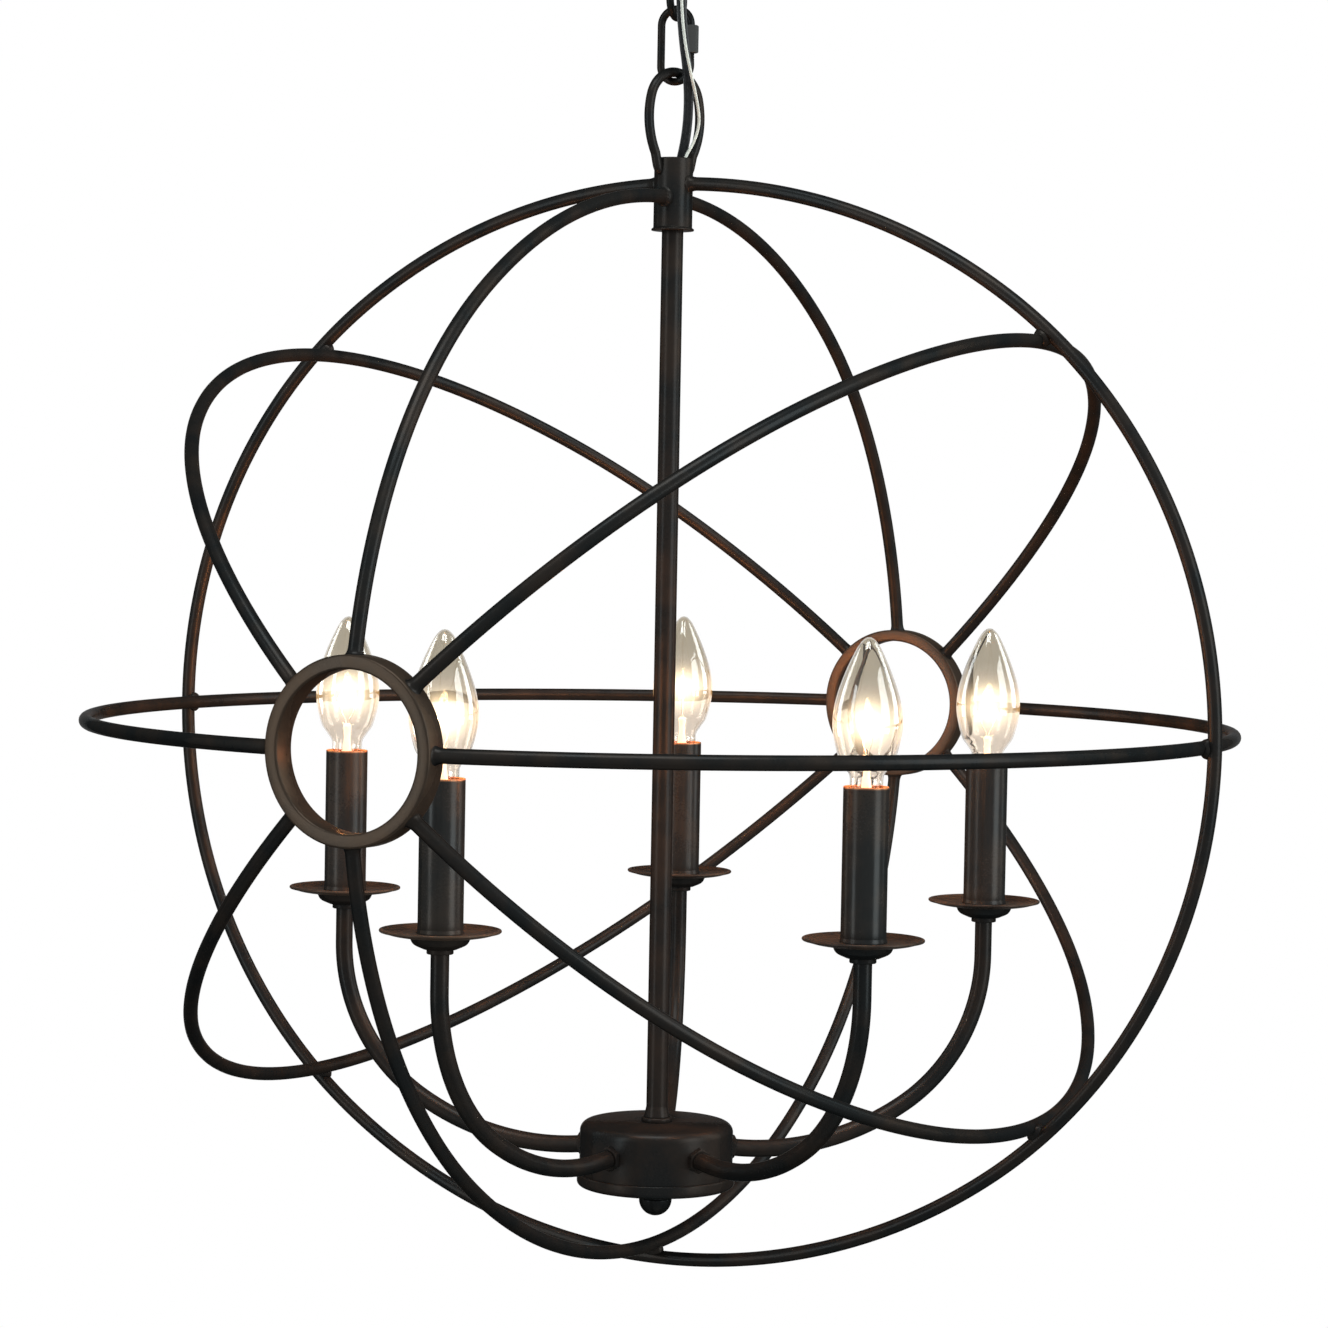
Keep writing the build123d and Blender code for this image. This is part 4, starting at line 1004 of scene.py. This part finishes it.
# Candle furniture: a spun husk, a dished drip pan with a rolled rim, and a tube sleeve. The pan's two
# skins are points (radius in millimetres, share of the dish's rise).
husk = {"radius": 15.0 * mm, "foot": 6.5 * mm, "bowlFoot": 8.2 * mm, "neck": 2.4 * mm, "wall": 1.3 * mm,
        "swell": 0.22, "bellyDrop": 0.62, "bore": 4.6 * mm, "footRound": 0.5 * mm, "neckRound": 0.3 * mm,
        "sides": 56, "steps": 9}
pan = {"sheet": 1.2 * mm, "rim": 0.55 * mm, "rimStart": 0.2 * mm, "rimStep": 0.3 * mm,
       "sides": 96, "steps": 6,
       "under": [(4.6, 0), (18.9, 0), (23.52, 0.22), (27.2, 0.72), (29.4, 1)],
       "over": [(28.2, 1), (26.0, 0.48), (22.68, 0.14), (18.06, 0), (4.6, 0)]}
sleeve = {"wall": 1.2 * mm, "edge": 0.5 * mm, "footFlare": 0.5 * mm, "footHeight": 2.2 * mm,
          "footRound": 0.2 * mm, "waistSwell": 0.6, "waistRise": 0.4, "waistRound": 0.5 * mm,
          "neckRound": 0.8 * mm, "sides": 72}
panUnder, panTop = high("husk_cups"), high("drip_pans")
sleeveTop = high("candle_sleeve_1")


# The husk's side is a curve through its rim, its belly and its foot.
def huskShape(place):
    foot, wall, bore, side = low("husk_cups"), husk["wall"], husk["bore"], husk["bowlFoot"]
    bowl = foot + husk["neck"]
    tall = panUnder - bowl
    belly = ((husk["radius"] + side) / 2 + tall * husk["swell"], panUnder - tall * husk["bellyDrop"])
    outer = smoothLine([(side, bowl), belly, (husk["radius"], panUnder)], husk["steps"])
    inner = smoothLine([(husk["radius"] - wall, panUnder), (belly[0] - wall, belly[1] + wall / 2),
                        (side - wall, bowl + wall)], husk["steps"])
    neck = rounded([(bore, foot), (husk["foot"], foot, husk["footRound"]),
                    (husk["foot"], bowl, husk["neckRound"]), (side, bowl)])[:-1]
    outline = np.concatenate([neck, outer, inner, [[bore, bowl + wall]]])
    return turn(outline, place, husk["sides"], closed=True)


def panShape(place):
    sheet, rim = pan["sheet"], pan["rim"]
    rise = panTop - panUnder - sheet
    lower, upper = (smoothLine([(radius * mm, foot + share * rise) for radius, share in pan[side]],
                               pan["steps"])
                    for side, foot in (("under", panUnder), ("over", panUnder + sheet)))
    r, start = lower[-1]
    edge = rounded([(r - pan["rimStart"], start), (r, start + pan["rimStep"], rim / 2), (r, panTop, rim),
                    upper[0]])[1:-1]
    return turn(np.concatenate([lower[:-1], edge, upper]), place, pan["sides"], closed=True)


# The sleeve's paint gives way to a red-brown at the tube's cut top, a mask by height: the bare card edge, and
# painted light for the orange glow its bulb throws on the rim.
def sleevePaint(look, cardAndLitRim):
    material, tree, shader, group = paintedMetal("sleevePaint", look)
    cardAndLitRimMask = spread(tree, heightOn(tree), sleeveTop - cardAndLitRim["depth"], sleeveTop - cardAndLitRim["depth"] * cardAndLitRim["fade"])
    feed(tree, blendColour(tree, cardAndLitRimMask, group.outputs["Color"], cardAndLitRim["colour"]), shader, "Base Color")
    return material


# Red-brown of the card edge and of the painted bulb-lit rim.
sleeveFinish = sleevePaint(candleLook, {"colour": (0.22, 0.105, 0.055), "depth": 1.2 * mm, "fade": 0.4})


def sleeveShape(place):
    bottom, r = low("candle_sleeve_1"), half("candle_sleeve_1")
    foot, out, inner = sleeve["footHeight"], sleeve["footFlare"], r - sleeve["wall"]
    return spun([(inner, bottom), (r + out, bottom, sleeve["footRound"]),
                 (r + out * sleeve["waistSwell"], bottom + foot * sleeve["waistRise"], sleeve["waistRound"]),
                 (r, bottom + foot, sleeve["neckRound"]), (r, sleeveTop, sleeve["edge"]),
                 (inner, sleeveTop, sleeve["edge"])], sleeve["sides"], place)


addPiece("huskCups", [huskShape(place) for place in candles], "husk_cups")
addPiece("dripPans", [panShape(place) for place in candles], "drip_pans", panLitBronze,
         sharp=50)
for number, place in enumerate(candles, 1):
    addPiece(f"candleSleeve_{number}", [sleeveShape(place)], f"candle_sleeve_{number}", sleeveFinish,
             sharp=50)
print("candles built")

# Bulbs: (radius, height over the sleeve's top) of the clear envelope in millimetres, then the mount
# inside it, the screw shell and the filament. The contact's points are (radius, drop) in millimetres.
bulb = {"outline": [(7.8, 0), (8.2, 5), (10.7, 9), (13.7, 13.8), (16.2, 23.9), (16.7, 30.7), (16.1, 37.4),
                    (14.6, 44.1), (12.3, 50.9), (9.6, 57.6), (6.4, 64.4), (4.5, 67.7), (2.9, 69.6),
                    (1.4, 70.7), (0, 71)],
        "wall": 0.8 * mm, "innerEnd": 0.25 * mm, "tipWall": 0.2 * mm, "sides": 72, "steps": 5}
mount = {"height": 14.0 * mm, "top": 1.6 * mm, "inset": 2.0 * mm, "shoulder": 2.0 * mm, "waist": 8.0 * mm,
         "waistShare": 0.62, "neck": 6.0 * mm, "bead": 1.5 * mm, "beadShare": 1.25, "tipShare": 0.8,
         "sides": 32, "steps": 5}
shell = {"radius": 5.95 * mm, "pitch": 2.6 * mm, "depth": 0.5 * mm, "fade": 1.6 * mm, "sides": 56, "rows": 60,
         "cap": 2.0 * mm, "contact": [(0, 2), (2.4, 2), (3.2, 1.3), (3.2, 0.6)], "shoulder": 0.82}
filament = {"spread": 5.0 * mm, "rise": 12.5 * mm, "arch": 5.5 * mm, "turns": 34, "turnSteps": 12,
            "coilRadius": 0.62 * mm, "radius": 0.17 * mm, "sides": 6, "lampShare": 0.6}
wires = {"radius": 0.28 * mm, "foot": 0.55, "sink": 3.0 * mm, "upright": 1.5 * mm, "knee": (0.55, 0.5),
         "sides": 10, "steps": 6}
socketTop = high("lamp_sockets")
mountTop = sleeveTop + mount["height"]
filamentFoot = mountTop + filament["rise"]
filamentHeight = filamentFoot + filament["lampShare"] * filament["arch"]


# The inner skin is the outer one moved inwards by the wall, square to its run, and closed at its tip.
def glassShape(place):
    start = [[shell["radius"], socketTop - sleeveTop]]
    outer = smoothLine(np.concatenate([start, np.array(bulb["outline"], float) * mm]), bulb["steps"])
    outer[-1, 0] = 0.0
    run = unit(np.gradient(outer, axis=0))
    inner = outer + np.stack([-run[:, 1], run[:, 0]], axis=-1) * bulb["wall"]
    inner = inner[inner[:, 0] > bulb["innerEnd"]]
    outline = np.concatenate([outer, [[0.0, inner[-1, 1] + bulb["tipWall"]]], inner[::-1]])
    return turn(outline + [0, sleeveTop], place, bulb["sides"], closed=True)


def mountShape(place):
    foot, top = shell["radius"] - mount["inset"], mount["top"]
    return turn(smoothLine([
        (0, socketTop), (foot, socketTop), (foot, socketTop + mount["shoulder"]),
        (foot * mount["waistShare"], socketTop + mount["waist"]), (top, mountTop - mount["neck"]),
        (top * mount["beadShare"], mountTop - mount["bead"]), (top * mount["tipShare"], mountTop),
        (0, mountTop)], mount["steps"]), place, mount["sides"])


# The screw shell's radius falls by a wave that climbs one pitch a turn, so it is a true thread.
def shellShape(place):
    bottom, top, sides = low("bulb_base_1") + shell["cap"], socketTop, shell["sides"]
    angle = circle(sides)[None, :]
    height = np.linspace(bottom, top, shell["rows"])[:, None]
    fade = np.clip(np.minimum(height - bottom, top - height) / shell["fade"], 0, 1)
    wave = 0.5 - 0.5 * np.cos(2 * np.pi * height / shell["pitch"] - angle)
    side = aboutAxis(shell["radius"] - shell["depth"] * wave * fade, angle, height, place)
    contact = [(radius * mm, bottom - drop * mm) for radius, drop in shell["contact"]]
    foot = turn([*contact, (shell["radius"] * shell["shoulder"], bottom)], place, sides)[0]
    return np.concatenate([foot, side, turn([(0.0, top)], place, sides)[0]]), True, False


# Support wires: round rods bent outwards from the glass mount to the filament's ends.
def wireShapes(place, angle):
    foot, out = mount["top"] * wires["foot"], filament["spread"]
    line = smoothLine([(foot, mountTop - wires["sink"]), (foot, mountTop + wires["upright"]),
                       ((foot + out) * wires["knee"][0], mountTop + filament["rise"] * wires["knee"][1]),
                       (out, filamentFoot)], wires["steps"])
    plane = uprightPlane(angle, place=place)
    return [bentRod(line * [side, 1], plane, wires["radius"], wires["sides"]) for side in (-1, 1)]


# The coil runs round an arch between the wires: arch point, plus the coil's radius times the cosine of
# its winding towards the arch's side and the sine across it, with a thin round section about that line.
def coilShape(place, angle):
    _, across, up = (np.array(v, float) for v in uprightPlane(angle))
    t = np.linspace(0, 1, filament["turns"] * filament["turnSteps"])[:, None]
    wind = 2 * np.pi * filament["turns"] * t
    arch = filament["spread"] * (2 * t - 1) * across + 4 * filament["arch"] * t * (1 - t) * up
    run = unit(np.gradient(arch, axis=0))
    side = np.cross(up, across)
    coil = np.cos(wind) * np.cross(run, side) + np.sin(wind) * side
    path = np.array([place.x, place.y, filamentFoot]) + arch + filament["coilRadius"] * coil
    return sweptCord(path, roundSection(filament), filament["sides"])


# Clear glass tinted faintly warm, turning greyer and darker above the filament. Near the filament it glows
# with painted light: a mask by height over the bulb's middle, strongest where the glass faces the eye, with a
# painted orange gleam towards its rim. At the rim its colour turns a dull brown: painted shade. A shadow ray
# passes through it.
def bulbGlassMaterial(look):
    material, tree, shader, output = newMaterial("clearBulbGlass")
    up = heightOn(tree)
    away = maths(tree, "DIVIDE", maths(tree, "SUBTRACT", up, look["height"]), look["tall"])
    fall = maths(tree, "EXPONENT", maths(tree, "MULTIPLY", maths(tree, "MULTIPLY", away, away), -1.0))
    layer = addNode(tree, "ShaderNodeLayerWeight")
    feed(tree, 0.5, layer, "Blend")
    facing = layer.outputs["Facing"]
    core = maths(tree, "POWER", maths(tree, "SUBTRACT", 1.0, facing), look["tightness"])
    tint = spread(tree, up, look["height"] - look["tintBelow"], look["height"] + look["tintAbove"])
    edge = maths(tree, "POWER", facing, look["edgeTightness"])
    body = blendColour(tree, edge, blendColour(tree, tint, look["clear"], look["upperTint"]), look["edge"])
    glow = blendColour(tree, maths(tree, "MULTIPLY", fall, core, clamp=True), (0.0, 0.0, 0.0), look["glow"])
    gleam = maths(tree, "MULTIPLY", fall, maths(tree, "MULTIPLY", edge, look["gleamShare"]), clamp=True)
    smear = noise(tree, placeOn(tree), look["smearScale"], 2.0)
    for socket, value in (
            ("Base Color", body), ("Emission Color", blendColour(tree, gleam, glow, look["gleam"])),
            ("Emission Strength", look["strength"]), ("Transmission Weight", 1.0), ("Metallic", 0.0),
            ("IOR", look["ior"]), ("Roughness", spread(tree, smear, 0.35, 0.7, 0.0, 0.03))):
        feed(tree, value, shader, socket)
    bumpFrom(tree, smear, look["smearDepth"], shader, look["smearStrength"])
    letThrough = addNode(tree, "ShaderNodeBsdfTransparent", (200, -300))
    feed(tree, look["shade"], letThrough, 0)
    path = addNode(tree, "ShaderNodeLightPath", (200, 300))
    mixed = addNode(tree, "ShaderNodeMixShader", (420, 0))
    for socket, value in enumerate((path.outputs["Is Shadow Ray"], shader.outputs[0], letThrough.outputs[0])):
        feed(tree, value, mixed, socket)
    feed(tree, mixed.outputs[0], output, 0)
    return material


def glowingMaterial(name, colour, strength, second=(1.0, 0.8, 0.5)):
    material, tree, shader, _ = newMaterial(name)
    ripple = spread(tree, noise(tree, placeOn(tree), 2500.0, 2.0), 0.3, 0.7)
    feed(tree, blendColour(tree, ripple, colour, second), shader, "Emission Color")
    feed(tree, strength, shader, "Emission Strength")
    feed(tree, (0.3, 0.3, 0.3), shader, "Base Color")
    return material


# glow and gleam are painted light on the glass; edge is painted shade at its rim.
glassLook = {"height": filamentHeight, "tall": 8.8 * mm, "tightness": 7.0, "clear": (0.84, 0.77, 0.70),
             "upperTint": (0.62, 0.58, 0.50), "tintBelow": 8 * mm, "tintAbove": 24 * mm,
             "edge": (0.58, 0.46, 0.30), "edgeTightness": 3.0, "glow": (1.0, 0.80, 0.52),
             "gleam": (1.0, 0.55, 0.2), "gleamShare": 0.9, "strength": 0.75, "shade": (0.96, 0.94, 0.9),
             "ior": 1.46, "smearScale": 90.0, "smearDepth": 0.15 * mm, "smearStrength": 0.25}
bulbClearGlass = bulbGlassMaterial(glassLook)
filamentGlow = glowingMaterial("filamentGlow", (1.0, 0.72, 0.38), 30.0)
# The glass mount is no lamp: its glow is painted light for the filament's light caught in it.
litMount = glowingMaterial("litGlassMount", (1.0, 0.62, 0.28), 1.2)
supportWire = drawnMetal("supportWire", (0.62, 0.58, 0.52), (0.45, 0.4, 0.34), 0.28)

bulbGlasses = []
for number, (place, angle) in enumerate(zip(candles, armAngles), 1):
    body, glassNode, baseNode = f"bulb_{number}", f"bulb_glass_{number}", f"bulb_base_{number}"
    bulbGlasses.append(addPiece(f"bulbGlass_{number}", [glassShape(place)], glassNode, bulbClearGlass, body,
                                sharp=70))
    addPiece(f"glassMount_{number}", [mountShape(place)], glassNode, litMount, body, sharp=70)
    for name, shapes, material in (("bulbShell", [shellShape(place)], brassShell),
                                   ("filamentWires", wireShapes(place, angle), supportWire),
                                   ("filamentCoil", [coilShape(place, angle)], filamentGlow)):
        addPiece(f"{name}_{number}", shapes, baseNode, material, body)
print("bulbs built")

# The solids that stay visible get the same finishes.
finishes = {**dict.fromkeys(("crossbar", "canopy_nipple", "nipple_nut", "hub_ring_nut", "centre_rod",
                             "lock_nuts"), zinc),
            "canopy_connectors": connectorPlastic, "drum_connectors": connectorPlastic,
            "inner_leads": leadSleeve, "lamp_sockets": socketPlastic}
for nodeName, material in finishes.items():
    for place in nodes[nodeName].material_slots:
        place.material = material

# Room: a pale floor under the object, a white surround, soft daylight and the bulbs' own warm light.
room = {"floorDrop": 1.6, "floorRadius": 2.5, "floorStart": 0.15, "floorRings": 18,
        "floorColours": ((0.80, 0.79, 0.77), (0.76, 0.75, 0.73)), "floorMottle": (3.0, 4.0),
        "floorRough": 0.7, "surround": 0.075, "bulbPower": 1.15,
        "bulbColour": (1.0, 0.38, 0.13), "bulbSize": 12 * mm, "daylight": (0.92, 0.98, 1.0)}
# Lamps round the cage: degrees from the camera to its right, distance, rise, power, width and height.
windows = {"rightWindow": (58.0, 2.2, 0.35, 58.0, 1.1, 2.0), "leftWindow": (-54.0, 2.2, 0.30, 26.0, 0.5, 2.0),
           "rightSide": (104.0, 2.0, 0.70, 44.0, 0.8, 2.0), "leftSide": (-112.0, 2.0, 0.40, 30.0, 0.7, 1.8),
           "skyLight": (-10.0, 0.9, 2.0, 58.0, 1.4, 1.0)}


# Floor disc: rings of points at growing radius, closed at the middle.
def makeFloor():
    rings = np.geomspace(room["floorStart"], room["floorRadius"], room["floorRings"])
    height = solidBox[0][2] - room["floorDrop"]
    outline = [(0.0, height), *((radius, height) for radius in rings)]
    material, tree, shader, _ = newMaterial("paleFloor")
    mottle = noise(tree, placeOn(tree), *room["floorMottle"])
    feed(tree, blendColour(tree, mottle, *room["floorColours"]), shader, "Base Color")
    feed(tree, room["floorRough"], shader, "Roughness")
    meshObject("floor", [turn(outline[::-1])], material)


# The windows face the cage's middle.
def areaLight(name, place, target, size, power):
    data = bpy.data.lights.new(name, "AREA")
    data.shape, data.energy, data.color = "RECTANGLE", power, room["daylight"]
    data.size, data.size_y = size
    lamp = bpy.data.objects.new(name, data)
    scene.collection.objects.link(lamp)
    aim = (target - place).to_track_quat("-Z", "Y")
    lamp.matrix_world = Matrix.Translation(place) @ aim.to_matrix().to_4x4()


# The bulbs' own lamps hang on their glass and light everything but the glass.
def makeLights():
    focus = Vector((0, 0, orbMiddle))
    for name, (side, distance, rise, power, width, height) in windows.items():
        a = np.radians(side)
        away = (eyeRight * np.sin(a) - eyeForward * np.cos(a)) * distance
        areaLight(name, focus + away + Vector((0, 0, rise)), focus, (width, height), power)
    lit = bpy.data.collections.new("litByBulbs")
    for piece in bulbGlasses:
        lit.objects.link(piece)
    for entry in lit.collection_objects:
        entry.light_linking.link_state = "EXCLUDE"
    for number, (place, glass) in enumerate(zip(candles, bulbGlasses), 1):
        data = bpy.data.lights.new(f"bulbLight_{number}", "POINT")
        data.energy, data.color = room["bulbPower"], room["bulbColour"]
        data.shadow_soft_size = room["bulbSize"]
        lamp = bpy.data.objects.new(f"bulbLight_{number}", data)
        scene.collection.objects.link(lamp)
        lamp.location = (place.x, place.y, filamentHeight)
        lamp.parent = glass
        lamp.light_linking.receiver_collection = lit


# White to the eye, in reflections and through glass; dimmer as a light.
def makeWorld():
    world = bpy.data.worlds.new("surround")
    scene.world = world
    world.use_nodes = True
    tree = world.node_tree
    tree.nodes.clear()
    path = addNode(tree, "ShaderNodeLightPath")
    seen = maths(tree, "ADD", path.outputs["Is Camera Ray"], path.outputs["Is Glossy Ray"])
    seen = maths(tree, "ADD", seen, path.outputs["Is Transmission Ray"], clamp=True)
    background = addNode(tree, "ShaderNodeBackground")
    feed(tree, blendColour(tree, seen, (room["surround"],) * 3, (1.0, 1.0, 1.0)), background, "Color")
    feed(tree, background.outputs[0], addNode(tree, "ShaderNodeOutputWorld"), 0)


makeFloor()
makeLights()
makeWorld()
scene.view_settings.view_transform = "Standard"
print("room lit")
